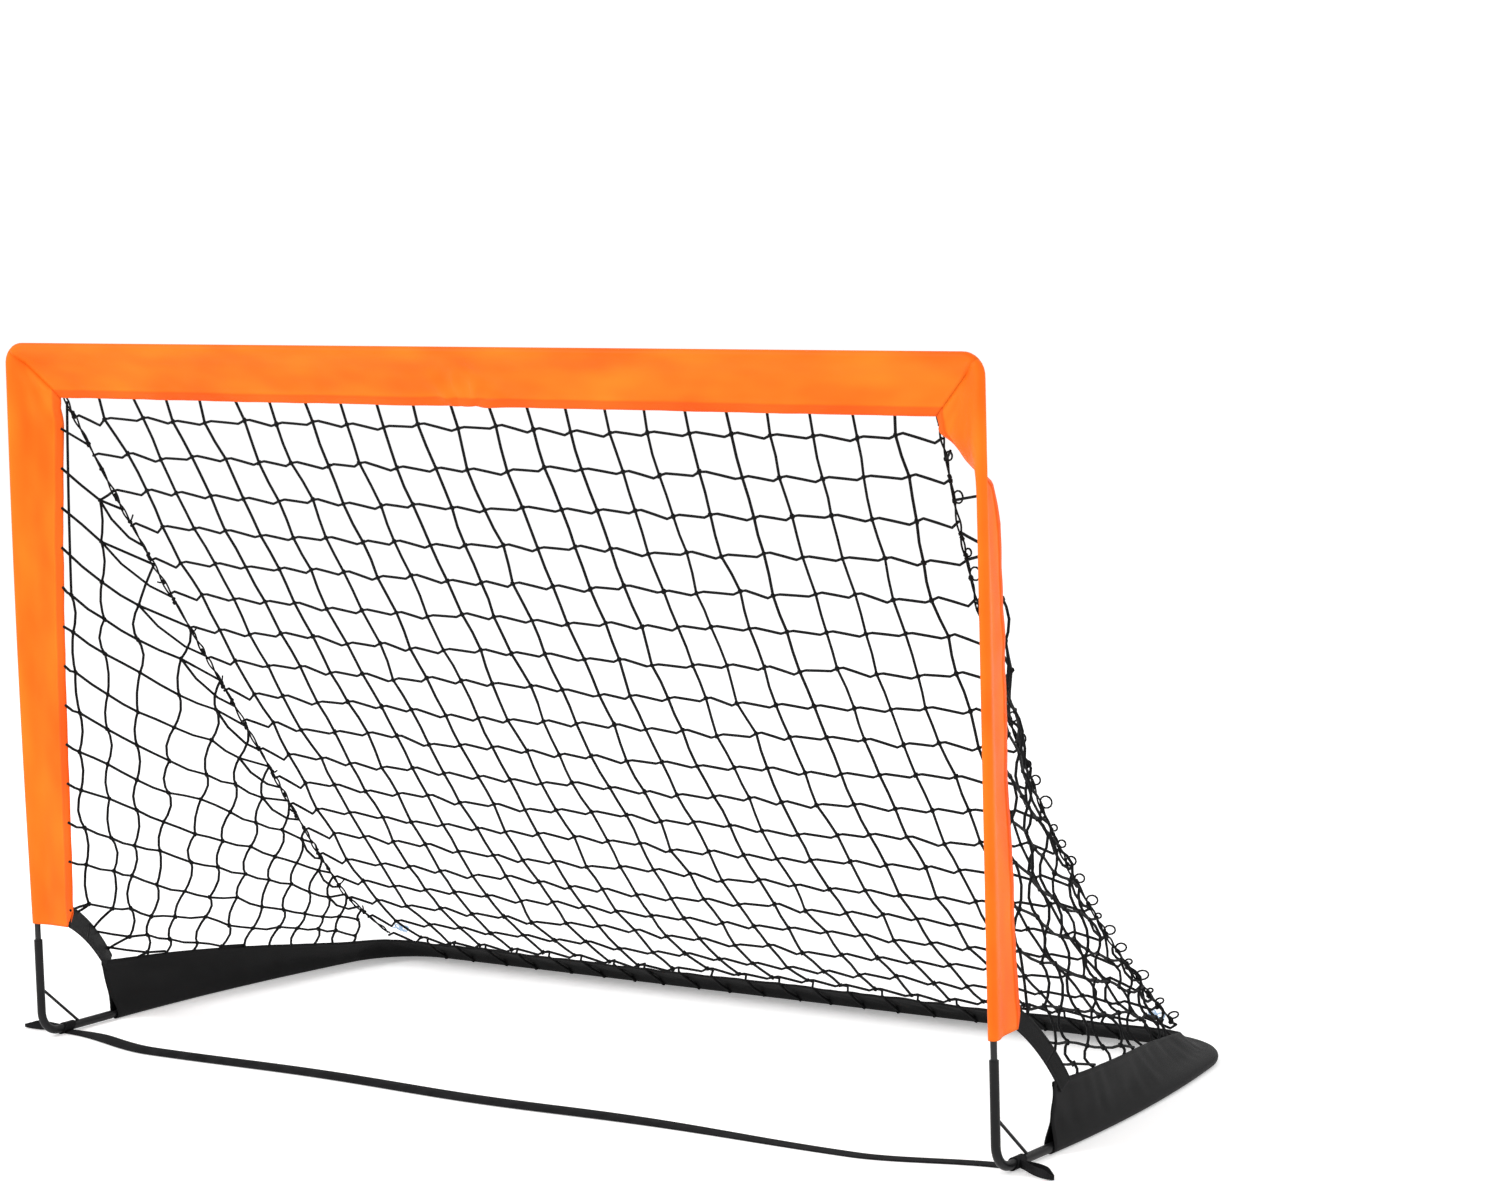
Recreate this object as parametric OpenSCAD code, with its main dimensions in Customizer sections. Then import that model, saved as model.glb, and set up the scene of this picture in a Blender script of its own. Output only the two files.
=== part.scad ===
// Portable soccer goal frame: an arch of shock-corded poles in a fabric sleeve, a U-shaped base of
// poles in a second sleeve, two steel foot elbows that both plug into, a net and a ground strap.
// Millimetres. X runs across the mouth, Y runs from the mouth to the back, Z is up.
// The origin is on the ground, in the middle of the goal's footprint.

/* [Goal] */
// Outside width over the two upright sleeves
goal_w = 1524; // [1000:1:2100]
// Height over the crossbar sleeve
goal_h = 945; // [620:1:1300]
// Depth from the axis of the uprights to the axis of the rear pole
goal_d = 680; // [520:1:1000]

/* [Poles] */
// Outside diameter of a fibreglass pole
pole_od = 8; // [6:0.5:9]
// Bore of a fibreglass pole
pole_bore = 4; // [2.5:0.5:5]
// Diameter of the shock cord that runs through the poles
shock_cord_d = 3; // [1.5:0.5:3.5]
// Radial clearance of a pole in a socket or ferrule
slip = 0.08; // [0.02:0.01:0.1]
// Wall of the ferrules and of the bent corner tubes
ferrule_wall = 0.8; // [0.4:0.1:1]
// Length of a ferrule
ferrule_len = 70; // [40:1:120]
// Gap between two pole ends, or between a pole end and its stop
end_gap = 0.4; // [0.2:0.1:1]

/* [Foot elbows] */
// Wall of the steel foot elbow
foot_wall = 1.67; // [0.8:0.01:3]
// Height of the elbow's upright socket above the ground
foot_h = 137; // [110:1:220]
// Reach of the elbow's rear socket behind the upright's axis
foot_reach = 132; // [110:1:220]
// Bend radius of the elbow, at its axis
foot_bend_r = 30; // [20:1:40]
// Depth to which a pole plugs into the elbow
socket_depth = 60; // [30:1:70]
// Length of the crimp that stops the pole
crimp_len = 6; // [3:1:12]
// Diameter of the brace rod
brace_d = 4; // [3:0.5:6]
// Height at which the brace rod meets the upright socket
brace_h = 71; // [55:1:100]
// Distance behind the upright's axis at which the brace rod meets the rear socket
brace_reach = 74; // [68:1:100]

/* [Corners] */
// Bend radius of a top corner tube, at its axis
top_bend_r = 21; // [15:1:60]
// Bend radius of a rear corner tube, at its axis
rear_bend_r = 110; // [80:1:160]
// Straight socket at each end of a corner tube
corner_leg = 45; // [30:1:70]
// Angle through which a side pole bows inwards before the rear corner
side_bow = 11; // [6:1:16]

/* [Arch sleeve] */
// Radial slack of the sleeve's tunnel over a ferrule
sleeve_slack = 0.82; // [0.4:0.01:4]
// Width of the fabric band from its outer edge to its hem
band_w = 78; // [60:1:100]
// Angle by which the net draws the band's hem back from the mouth
band_lean = 20; // [5:1:30]
// Length of bare pole between an elbow's upright socket and the sleeve
sleeve_gap = 23; // [10:1:80]

/* [Base skirt] */
// Width of the side skirts at their front end, from the pole's axis
skirt_w = 80; // [60:1:95]
// Width of the rear skirt, from the pole's axis
rear_skirt_w = 52; // [40:1:70]
// Rise of the rear skirt from the ground, as an angle
rear_skirt_rise = 25; // [15:1:40]
// Gap between the elbow's rear socket and the front end of the skirt
skirt_gap = 8; // [4:1:20]
// Width of the curved riser between the sleeve and the skirt
riser_w = 24; // [15:1:30]

/* [Fabric] */
// Thickness of a fabric tunnel's wall
tunnel_wall = 0.8; // [0.5:0.1:1.2]
// Thickness of a hemmed fabric band
band_t = 2; // [1:0.5:3]
// Thickness that stands for the knotted net
net_t = 2; // [1:0.5:3]
// Diameter of the lacing cord along a net seam
lacing_d = 5; // [3:0.5:6]
// Diameter of the cord of a corner tie
tie_d = 2.5; // [1.5:0.5:3]

/* [Ground strap] */
// Width of the webbing
webbing_w = 20; // [15:1:30]
// Thickness of the webbing
webbing_t = 1.5; // [1:0.1:1.6]
// Distance of the strap behind the upright's axis, at its middle
strap_y = 46; // [40:1:52]
// Bore of the peg eye at each end of the strap
peg_eye_d = 12; // [8:1:16]
// Distance from the upright's axis out to the middle of the peg eye
peg_eye_out = 60; // [35:1:90]
// Height of the peg eye's webbing, which stands on its edge
peg_loop_h = 18; // [14:1:25]

/* [Hidden] */

LEFT = -1;
RIGHT = 1;
// Sides of a tube, and of a large arc taken as a whole circle
tube_fn = 48;
bend_fn = 96;
bow_fn = 1080;
// Reach of a cutting block beyond whatever it cuts
far = 3000;
// Overlap of a cutting shape past the face that it opens
past = 1;
// Clear space between fabric and what it is sewn or tied to
sewn_gap = 0.3;
// Clear space left round a brace rod's welded end
weld_gap = 0.05;
// Radial space round the shock cord in a crimp, and round the cord's knot in the elbow's bend
crimp_space = 1.6;
knot_space = 0.4;

pole_r = pole_od / 2;
cord_r = shock_cord_d / 2;
socket_r = pole_r + slip;
ferrule_r = socket_r + ferrule_wall;
foot_r = socket_r + foot_wall;
crimp_r = cord_r + crimp_space;
knot_r = crimp_r - knot_space;
sleeve_r = ferrule_r + sleeve_slack + tunnel_wall;
sleeve_bottom = foot_h + sleeve_gap;
// The elbow's rear arm lies on one turn of the strap, so the base axis is that much higher
wrap_clear = 0.25;
wrap_r = foot_r + wrap_clear;
base_z = wrap_r + webbing_t;

axis_x = goal_w / 2 - sleeve_r;
top_z = goal_h - sleeve_r;
// Middle of the footprint, which the whole goal is moved back by
mid_y = (goal_d + base_z - sleeve_r) / 2;

// Arch sections
upright_foot = foot_h - socket_depth;
upright_top = top_z - top_bend_r - end_gap;
upright_joint = (upright_foot + upright_top) / 2;
crossbar_end = axis_x - top_bend_r - end_gap;
crossbar_joint = crossbar_end / 3;

// Base plan: straight out of the elbow, a long bow inwards, the corner's bend, the rear pole
side_start = foot_reach - socket_depth;
bow_start = foot_reach + skirt_gap;
corner_y = goal_d - rear_bend_r;
bow_r = (corner_y + rear_bend_r * sin(side_bow) - bow_start) / sin(side_bow);
corner_x = axis_x - bow_r * (1 - cos(side_bow)) - rear_bend_r * cos(side_bow);
// A corner tube's collar closes onto its bend over this length each way
collar = 4;
collar_lip = 0.7;
collar_wall = 0.4;
collar_r = socket_r - collar_lip;
bend_bore_r = collar_r - collar_wall;

// Fabric edges
band_reach = band_w - sleeve_r;
hem_x = axis_x - band_reach * cos(band_lean);
hem_y = band_reach * sin(band_lean);
hem_z = top_z - band_reach * cos(band_lean);
// Where the plate of a band starts, as a share of the way through the wall of its tunnel
root_depth = 0.6;
band_root = sleeve_r - tunnel_wall * root_depth;

// Net: a quadratic curve from the hem to the rear skirt, pulled down by its own weight
net_gap = 5;
net_seam = rear_skirt_w + 4 * net_gap;
// How far along and how far down the curve's middle control point lies, as a share of the whole
net_sag = 0.33;
net_top = [hem_y + net_gap, hem_z - net_gap];
net_low = [
    goal_d - net_seam * cos(rear_skirt_rise),
    base_z + net_seam * sin(rear_skirt_rise),
];
net_pull = [
    net_top[0] + (net_low[0] - net_top[0]) * net_sag,
    net_low[1] + (net_top[1] - net_low[1]) * net_sag,
];
net_rows = 12;
// Half width of the rear net at its top, and how much narrower it is at its lower edge
net_half = hem_x - net_gap;
net_taper = 46;
// The side nets stop short of the lacing cord on both sides of it
lacing_gap = lacing_d / 2 + 1;

// Riser: a quarter ring from the sleeve's lower hem corner down to the skirt's front end.
// It starts a little way along, beside the sleeve's end, and its lower end overlaps the skirt's.
riser_rows = 8;
riser_start = 0.18;
riser_y = 10;
riser_overlap = 20;
riser_over_hem = 12;
riser_front_gap = 4;
riser_z = base_z + skirt_w - riser_overlap;
riser_out_y = bow_start - riser_front_gap - riser_y;
riser_out_z = sleeve_bottom + riser_over_hem - riser_z;
// Share of a side net's front edge that runs beside the sleeve, and where its first row is
net_bend = 0.85;
net_first = 0.04;
net_drop = 2;
// Place of a corner tie in from the lacing's end and above it, and how far it is turned
tie_out = 10;
tie_up = 15;
tie_turn = 20;
// Share of the side skirt's length over which it narrows to the rear skirt's width
skirt_narrow = 0.7;

// Point on the net's curve, as [y, z], for t from 0 at the hem to 1 at the skirt
function net_curve(t) = (1 - t) * (1 - t) * net_top + 2 * t * (1 - t) * net_pull + t * t * net_low;
// Unit vector along the net's curve
function net_along(t) =
    let (d = 2 * (1 - t) * (net_pull - net_top) + 2 * t * (net_low - net_pull))
    d / norm(d);
// Half width of the rear net at t
function net_side(t) = net_half - net_taper * t;

// Plan position [x, y, heading] of the right side pole, for u from 0 to 2:
// 0 to 1 is the bow and 1 to 2 the rear corner
function plan(u) =
    u <= 1
        ? let (a = side_bow * u) [axis_x - bow_r * (1 - cos(a)), bow_start + bow_r * sin(a), a]
        : let (a = side_bow + (90 - side_bow) * (u - 1))
            [corner_x + rear_bend_r * cos(a), corner_y + rear_bend_r * sin(a), a];
// Angle that a length takes up along the bow
function bow_angle(length) = length / bow_r * 180 / PI;

// A sheet between two rails of points, thick along the vector listed for each row
module sheet(rail_a, rail_b, thick) {
    n = len(rail_a);
    points = [
        for (i = [0:n - 1])
            each [rail_a[i], rail_b[i], rail_b[i] + thick[i], rail_a[i] + thick[i]]
    ];
    sides = [
        for (i = [0:n - 2], k = [0:3])
            let (a = 4 * i + k, b = 4 * i + (k + 1) % 4)
            each [[a, b, b + 4], [a, b + 4, a + 4]]
    ];
    first_end = [[0, 3, 2], [0, 2, 1]];
    e = 4 * (n - 1);
    last_end = [[e, e + 1, e + 2], [e, e + 2, e + 3]];
    polyhedron(points = points, faces = concat(sides, first_end, last_end), convexity = 6);
}

// A cord swept along points with a radius for each; across is square to the whole of its route
module swept_cord(points, radii, across, sides = 8) {
    n = len(points);
    rings = [
        for (i = [0:n - 1])
            let (
                d = points[min(i + 1, n - 1)] - points[max(i - 1, 0)],
                out = cross(d, across) / norm(cross(d, across))
            )
            for (k = [0:sides - 1])
                let (a = 360 * k / sides) points[i] + radii[i] * (cos(a) * across + sin(a) * out)
    ];
    skin = [
        for (i = [0:n - 2], k = [0:sides - 1])
            let (a = sides * i + k, b = sides * i + (k + 1) % sides)
            each [[a, b + sides, b], [a, a + sides, b + sides]]
    ];
    first_end = [[for (k = [0:sides - 1]) k]];
    last_end = [[for (k = [sides - 1:-1:0]) sides * (n - 1) + k]];
    polyhedron(points = rings, faces = concat(skin, first_end, last_end), convexity = 6);
}

// Moves the goal back so that the origin is in the middle of its footprint
module placed() {
    translate([0, -mid_y, 0]) children();
}

// Builds a right-hand piece on the given side
module on_side(side) {
    placed() mirror([side == LEFT ? 1 : 0, 0, 0]) children();
}

// Makes a right-hand shape on both sides
module on_both_sides() {
    for (side = [LEFT, RIGHT]) mirror([side == LEFT ? 1 : 0, 0, 0]) children();
}

// A tube standing on z = 0
module ring(r, bore, h) {
    difference() {
        cylinder(r = r, h = h, $fn = tube_fn);
        translate([0, 0, -past]) cylinder(r = bore, h = h + 2 * past, $fn = tube_fn);
    }
}

// A round bar from z = low to z = high
module upright_bar(r, low, high) {
    translate([0, 0, low]) cylinder(r = r, h = high - low, $fn = tube_fn);
}

// A round bar along X from x = low to x = high
module cross_bar(r, low, high) {
    translate([low, 0, 0]) rotate([0, 90, 0]) cylinder(r = r, h = high - low, $fn = tube_fn);
}

// A round bar along Y from y = low to y = high
module rear_bar(r, low, high) {
    translate([0, low, 0]) rotate([-90, 0, 0]) cylinder(r = r, h = high - low, $fn = tube_fn);
}

// A bar of radius r, or a tube where bore is given, bent to radius bend in the XY plane
module bent_bar(r, bend, sweep, bore = 0, fn = bend_fn) {
    rotate_extrude(angle = sweep, $fn = fn) translate([bend, 0])
        difference() {
            circle(r = r, $fn = tube_fn);
            if (bore > 0) circle(r = bore, $fn = tube_fn);
        }
}

/* Foot elbow */

// The bend of the elbow, from its upright arm round to its rear arm
module foot_bend(r) {
    translate([0, foot_bend_r, base_z + foot_bend_r])
        rotate([0, 90, 0])
            rotate([0, 0, -90]) bent_bar(r, foot_bend_r, 90);
}

module foot_outside(r) {
    upright_bar(r, base_z + foot_bend_r, foot_h);
    foot_bend(r);
    translate([0, 0, base_z]) rear_bar(r, foot_bend_r, foot_reach);
}

module foot_elbow(side) {
    color([0.1, 0.1, 0.11])
        on_side(side) translate([axis_x, 0, 0])
            difference() {
                foot_outside(foot_r);
                foot_outside(crimp_r);
                upright_bar(socket_r, upright_foot - end_gap, foot_h + past);
                upright_bar(socket_r, base_z + foot_bend_r, upright_foot - end_gap - crimp_len);
                translate([0, 0, base_z]) {
                    rear_bar(socket_r, side_start - end_gap, foot_reach + past);
                    rear_bar(socket_r, foot_bend_r, side_start - end_gap - crimp_len);
                }
            }
}

module brace_rod(side) {
    rise = brace_h - base_z;
    slope = atan2(rise, brace_reach);
    color([0.1, 0.1, 0.11])
        on_side(side) translate([axis_x, 0, 0])
            difference() {
                translate([0, 0, brace_h])
                    rotate([-90 - slope, 0, 0])
                        cylinder(d = brace_d, h = norm([rise, brace_reach]), $fn = tube_fn);
                foot_outside(foot_r + weld_gap);
            }
}

/* Ground strap and peg loops */

// The webbing across the mouth, which ends where the turns round the elbows' arms begin
module ground_strap() {
    reach = axis_x - sqrt(base_z * base_z - wrap_r * wrap_r) - sewn_gap;
    color([0.08, 0.08, 0.09]) placed()
        translate([-reach, strap_y - webbing_w / 2, 0]) cube([2 * reach, webbing_w, webbing_t]);
}

// The turn of webbing round an elbow's rear arm, sewn to the strap's end
module strap_turn(side) {
    color([0.08, 0.08, 0.09]) on_side(side) translate([axis_x, strap_y - webbing_w / 2, base_z])
        rotate([-90, 0, 0]) ring(base_z, wrap_r, webbing_w);
}

module peg_loop(side) {
    eye_x = axis_x + peg_eye_out;
    eye_r = peg_eye_d / 2;
    neck_x = axis_x + base_z + sewn_gap;
    color([0.08, 0.08, 0.09])
        on_side(side) translate([0, strap_y, 0])
            difference() {
                union() {
                    translate([eye_x, 0, 0])
                        cylinder(r = eye_r + webbing_t, h = peg_loop_h, $fn = tube_fn);
                    translate([neck_x, -webbing_t, 0])
                        cube([eye_x - neck_x, 2 * webbing_t, peg_loop_h]);
                }
                translate([eye_x, 0, -past])
                    cylinder(r = eye_r, h = peg_loop_h + 2 * past, $fn = tube_fn);
            }
}

/* Base poles */

module pole_color() {
    color([0.07, 0.07, 0.08]) children();
}

// A bar or tube along the bow, from angle a to angle b
module bow(r, a, b, bore = 0) {
    translate([axis_x - bow_r, bow_start, 0])
        rotate([0, 0, a]) bent_bar(r, bow_r, b - a, bore, bow_fn);
}

// A bar or tube along the rear corner's bend, from angle a to angle b
module rear_bend(r, a, b, bore = 0) {
    translate([corner_x, corner_y, 0]) rotate([0, 0, a]) bent_bar(r, rear_bend_r, b - a, bore);
}

// Side pole as a bar of radius r, from start in the elbow to angle stop in the corner's socket
module side_run(r, start, stop) {
    translate([axis_x, 0, 0]) rear_bar(r, start, bow_start);
    bow(r, 0, stop);
}

module side_pole(side) {
    stop = side_bow - bow_angle(collar + end_gap);
    pole_color() on_side(side) translate([0, 0, base_z])
        difference() {
            side_run(pole_r, side_start, stop);
            side_run(pole_bore / 2, side_start - past, stop + bow_angle(past));
        }
}

// A bent tube whose two ends are swaged out into sockets for the poles
module rear_corner(side) {
    mouth = side_bow - bow_angle(corner_leg);
    seat = bow_angle(collar);
    color([0.13, 0.13, 0.14]) on_side(side) translate([0, 0, base_z]) {
        difference() {
            bow(ferrule_r, mouth, side_bow + seat);
            bow(socket_r, mouth - seat, side_bow - seat);
            bow(collar_r, side_bow - 2 * seat, side_bow + 2 * seat);
        }
        rear_bend(pole_r, side_bow, 90, bend_bore_r);
        translate([0, goal_d, 0])
            difference() {
                cross_bar(ferrule_r, corner_x - corner_leg, corner_x + collar);
                cross_bar(socket_r, corner_x - corner_leg - past, corner_x - collar);
                cross_bar(collar_r, corner_x - 2 * collar, corner_x + 2 * collar);
            }
    }
}

module rear_pole(side) {
    pole_color() on_side(side) translate([0, goal_d, base_z])
        difference() {
            cross_bar(pole_r, end_gap / 2, corner_x - collar - end_gap);
            cross_bar(pole_bore / 2, -past, corner_x);
        }
}

module rear_ferrule() {
    color([0.6, 0.6, 0.62]) placed() translate([0, goal_d, base_z])
        rotate([0, 90, 0]) translate([0, 0, -ferrule_len / 2]) ring(ferrule_r, socket_r, ferrule_len);
}

module base_shock_cord() {
    knot_end = side_start - 2 * knot_r;
    // Each half runs from a knot in the elbow, along the side pole and round to the rear
    half = concat(
        [[axis_x, knot_end], [axis_x, side_start - end_gap], [axis_x, side_start], [axis_x, bow_start]],
        [for (k = [1:16]) let (p = plan(k / 8)) [p[0], p[1]]]
    );
    radii = [for (k = [0:len(half) - 1]) k < 2 ? knot_r : cord_r];
    last = len(half) - 1;
    color([0.85, 0.85, 0.87]) placed()
        swept_cord(
            concat(
                [for (p = half) [p[0], p[1], base_z]],
                [for (k = [last:-1:0]) [-half[k][0], half[k][1], base_z]]
            ),
            concat(radii, [for (k = [last:-1:0]) radii[k]]),
            [0, 0, 1]
        );
}

/* Base fabric */

module base_tunnel(side) {
    color([0.08, 0.08, 0.09]) on_side(side) translate([0, 0, base_z])
        bow(base_z, 0, side_bow - bow_angle(sewn_gap), base_z - tunnel_wall);
}

module corner_tunnel(side) {
    color([0.08, 0.08, 0.09]) on_side(side) translate([0, 0, base_z])
        rear_bend(base_z, side_bow, 90, base_z - tunnel_wall);
}

module base_tunnel_rear() {
    span = 2 * (corner_x - sewn_gap);
    color([0.08, 0.08, 0.09]) placed() translate([-span / 2, goal_d, base_z])
        rotate([0, 90, 0]) ring(base_z, base_z - tunnel_wall, span);
}

// Share of the side skirt's length that lies in front of plan position u
function skirt_run(u) =
    let (bow_length = bow_r * side_bow, bend_length = rear_bend_r * (90 - side_bow))
    (min(u, 1) * bow_length + max(u - 1, 0) * bend_length) / (bow_length + bend_length);
// Angle of the side skirt above the ground, and its width, at plan position u
function skirt_rise(u) =
    let (run = skirt_run(u)) 90 - (90 - rear_skirt_rise) * run * run * (3 - 2 * run);
function skirt_width(u) =
    skirt_w - (skirt_w - rear_skirt_w) * min(skirt_run(u) / skirt_narrow, 1);

// A point of the side skirt at distance s from the pole's axis, and the way that the skirt faces
function skirt_point(u, s) =
    let (p = plan(u), rise = skirt_rise(u))
    [
        p[0] - s * cos(rise) * cos(p[2]),
        p[1] - s * cos(rise) * sin(p[2]),
        base_z + s * sin(rise),
    ];
function skirt_face(u) =
    let (p = plan(u), rise = skirt_rise(u))
    [sin(rise) * cos(p[2]), sin(rise) * sin(p[2]), cos(rise)];

module skirt(side) {
    rows = concat([for (k = [0:6]) k / 6], [for (k = [1:8]) 1 + k / 8]);
    root = base_z + sewn_gap + band_t / 2;
    color([0.08, 0.08, 0.09]) on_side(side)
        sheet(
            [for (u = rows) skirt_point(u, root) - skirt_face(u) * band_t / 2],
            [for (u = rows) skirt_point(u, skirt_width(u)) - skirt_face(u) * band_t / 2],
            [for (u = rows) skirt_face(u) * band_t]
        );
}

module skirt_rear() {
    root = base_z + sewn_gap + band_t / 2;
    span = 2 * (corner_x - sewn_gap);
    color([0.08, 0.08, 0.09]) placed() translate([-span / 2, goal_d, base_z])
        rotate([-rear_skirt_rise, 0, 0])
            translate([0, -rear_skirt_w, -band_t / 2]) cube([span, rear_skirt_w - root, band_t]);
}

/* Arch poles */

module upright_section(side, low, high) {
    pole_color() on_side(side) translate([axis_x, 0, 0])
        difference() {
            upright_bar(pole_r, low, high);
            upright_bar(pole_bore / 2, low - past, high + past);
        }
}

module upright_ferrule(side) {
    color([0.6, 0.6, 0.62]) on_side(side)
        translate([axis_x, 0, upright_joint - ferrule_len / 2]) ring(ferrule_r, socket_r, ferrule_len);
}

// The bend of a top corner, from the upright round towards the crossbar
module top_bend(r, sweep = 90) {
    translate([axis_x - top_bend_r, 0, top_z - top_bend_r])
        rotate([90, 0, 0]) bent_bar(r, top_bend_r, sweep);
}

// The half of the bend that belongs to the crossbar, built back from the crossbar
module top_half_bend(r) {
    translate([axis_x - top_bend_r, 0, top_z - top_bend_r])
        rotate([90, 0, 0]) rotate([0, 0, 90]) mirror([0, 1, 0]) bent_bar(r, top_bend_r, 45);
}

module top_corner(side) {
    leg_low = top_z - top_bend_r - corner_leg;
    leg_in = axis_x - top_bend_r - corner_leg;
    color([0.13, 0.13, 0.14]) on_side(side)
        difference() {
            union() {
                translate([axis_x, 0, 0]) upright_bar(ferrule_r, leg_low, top_z - top_bend_r);
                top_bend(ferrule_r);
                translate([0, 0, top_z]) cross_bar(ferrule_r, leg_in, axis_x - top_bend_r);
            }
            translate([axis_x, 0, 0]) upright_bar(socket_r, leg_low - past, top_z - top_bend_r);
            top_bend(socket_r);
            translate([0, 0, top_z]) cross_bar(socket_r, leg_in - past, axis_x - top_bend_r);
        }
}

module crossbar_section(low, high) {
    pole_color() placed() translate([0, 0, top_z])
        difference() {
            cross_bar(pole_r, low, high);
            cross_bar(pole_bore / 2, low - past, high + past);
        }
}

module crossbar_ferrule(side) {
    color([0.6, 0.6, 0.62]) on_side(side) translate([crossbar_joint - ferrule_len / 2, 0, top_z])
        rotate([0, 90, 0]) ring(ferrule_r, socket_r, ferrule_len);
}

module arch_shock_cord() {
    knot_z = upright_foot - knot_r;
    half = axis_x - top_bend_r;
    color([0.85, 0.85, 0.87]) placed() {
        on_both_sides() {
            translate([axis_x, 0, knot_z]) sphere(r = knot_r, $fn = tube_fn);
            translate([axis_x, 0, 0]) upright_bar(cord_r, knot_z, top_z - top_bend_r);
            top_bend(cord_r);
        }
        translate([0, 0, top_z]) cross_bar(cord_r, -half, half);
    }
}

/* Arch sleeve */

// The band's plate beside an upright, drawn back from the mouth by the net
module band_beside(length) {
    rotate([0, 0, -band_lean])
        translate([-band_reach, -band_t / 2, 0]) cube([band_reach - band_root, band_t, length]);
}

// What lies between the bend's tunnel and the square corner outside it
module outside_bend() {
    keep = top_bend_r - band_root;
    translate([axis_x - top_bend_r, 0, top_z - top_bend_r])
        rotate([90, 0, 0]) translate([0, 0, -far / 2])
            difference() {
                cube([far, far, far]);
                translate([0, 0, -past]) cylinder(r = keep, h = far + 2 * past, $fn = bend_fn);
            }
}

// All the space above or below the mitred seam of a top corner, which runs in at 45 degrees
module above_mitre() {
    translate([axis_x, 0, top_z])
        rotate([0, -45, 0]) translate([-far, -far / 2, 0]) cube([2 * far, far, far]);
}

module below_mitre() {
    translate([axis_x, 0, top_z])
        rotate([0, -45, 0]) translate([-far, -far / 2, sewn_gap - far]) cube([2 * far, far, far]);
}

module sleeve_side(side) {
    color([0.95, 0.42, 0.12]) on_side(side)
        difference() {
            union() {
                translate([axis_x, 0, 0]) upright_bar(sleeve_r, sleeve_bottom, top_z - top_bend_r);
                top_bend(sleeve_r, 45);
                difference() {
                    translate([axis_x, 0, sleeve_bottom]) band_beside(top_z - sleeve_bottom);
                    outside_bend();
                }
            }
            translate([axis_x, 0, 0])
                upright_bar(sleeve_r - tunnel_wall, sleeve_bottom - past, top_z - top_bend_r);
            top_bend(sleeve_r - tunnel_wall, 45);
            above_mitre();
        }
}

module sleeve_top() {
    half = axis_x - top_bend_r;
    color([0.95, 0.42, 0.12]) placed()
        difference() {
            union() {
                translate([0, 0, top_z]) cross_bar(sleeve_r, -half, half);
                on_both_sides() top_half_bend(sleeve_r);
                difference() {
                    translate([-axis_x, 0, top_z]) rotate([0, 90, 0]) rotate([0, 0, 180])
                        rotate([0, 0, band_lean]) translate([-band_reach, -band_t / 2, 0])
                            cube([band_reach - band_root, band_t, 2 * axis_x]);
                    on_both_sides() outside_bend();
                }
            }
            translate([0, 0, top_z]) cross_bar(sleeve_r - tunnel_wall, -half, half);
            on_both_sides() {
                top_half_bend(sleeve_r - tunnel_wall);
                below_mitre();
            }
        }
}

/* Risers, net, lacing and ties */

// Point on the riser for t from 0 at its top to 1 at its foot, drop inside its outer edge
function riser_point(t, drop) =
    [
        hem_x - net_gap + (axis_x - hem_x) * t,
        riser_y + (riser_out_y - drop) * sin(90 * t),
        riser_z + (riser_out_z - drop) * cos(90 * t),
    ];

module skirt_riser(side) {
    rows = [for (k = [0:riser_rows]) riser_start + (1 - riser_start) * k / riser_rows];
    color([0.08, 0.08, 0.09]) on_side(side)
        sheet(
            [for (t = rows) riser_point(t, riser_w)],
            [for (t = rows) riser_point(t, 0)],
            [for (t = rows) [band_t, 0, 0]]
        );
}

// Front edge of a side net, from the hem's top corner down to the skirt's front corner
function net_front(t) =
    let (low_z = riser_z + riser_out_z + net_gap)
    t < net_bend
        ? [hem_x - net_gap, hem_y + net_gap, net_top[1] - (net_top[1] - low_z) * t / net_bend]
        : riser_point((t - net_bend) / (1 - net_bend), -3 * net_gap);

module net_side_panel(side) {
    rows = [for (k = [0:net_rows]) net_first + (1 - net_first) * k / net_rows];
    color([0.12, 0.12, 0.13, 0.5]) on_side(side)
        sheet(
            [for (t = rows) net_front(t) + [0, 0, -net_drop]],
            [
                for (t = rows)
                    let (p = net_curve(t), d = net_along(t))
                    [net_side(t), p[0] + d[1] * lacing_gap, p[1] - d[0] * lacing_gap]
            ],
            [for (t = rows) [-net_t, 0, 0]]
        );
}

module net_rear() {
    rows = [for (k = [0:net_rows]) k / net_rows];
    color([0.12, 0.12, 0.13, 0.5]) placed()
        sheet(
            [for (t = rows) [-net_side(t) + lacing_gap + net_t, net_curve(t)[0], net_curve(t)[1]]],
            [for (t = rows) [net_side(t) - lacing_gap - net_t, net_curve(t)[0], net_curve(t)[1]]],
            [for (t = rows) [0, net_along(t)[1], -net_along(t)[0]] * -net_t]
        );
}

module lacing(side) {
    rows = [for (k = [0:2 * net_rows]) k / (2 * net_rows)];
    color([0.1, 0.1, 0.1]) on_side(side)
        swept_cord(
            [for (t = rows) [net_side(t), net_curve(t)[0], net_curve(t)[1]]],
            [for (t = rows) lacing_d / 2],
            [1, 0, 0]
        );
}

// A small ring of cord that ties the end of the lacing to the skirt's rear corner
module corner_tie(side) {
    color([0.75, 0.82, 0.88]) on_side(side)
        translate([net_side(1) - tie_out, net_low[0] - net_gap, net_low[1] + tie_up])
            rotate([0, 90, tie_turn]) bent_bar(tie_d / 2, 2 * tie_d, 360);
}

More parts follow.
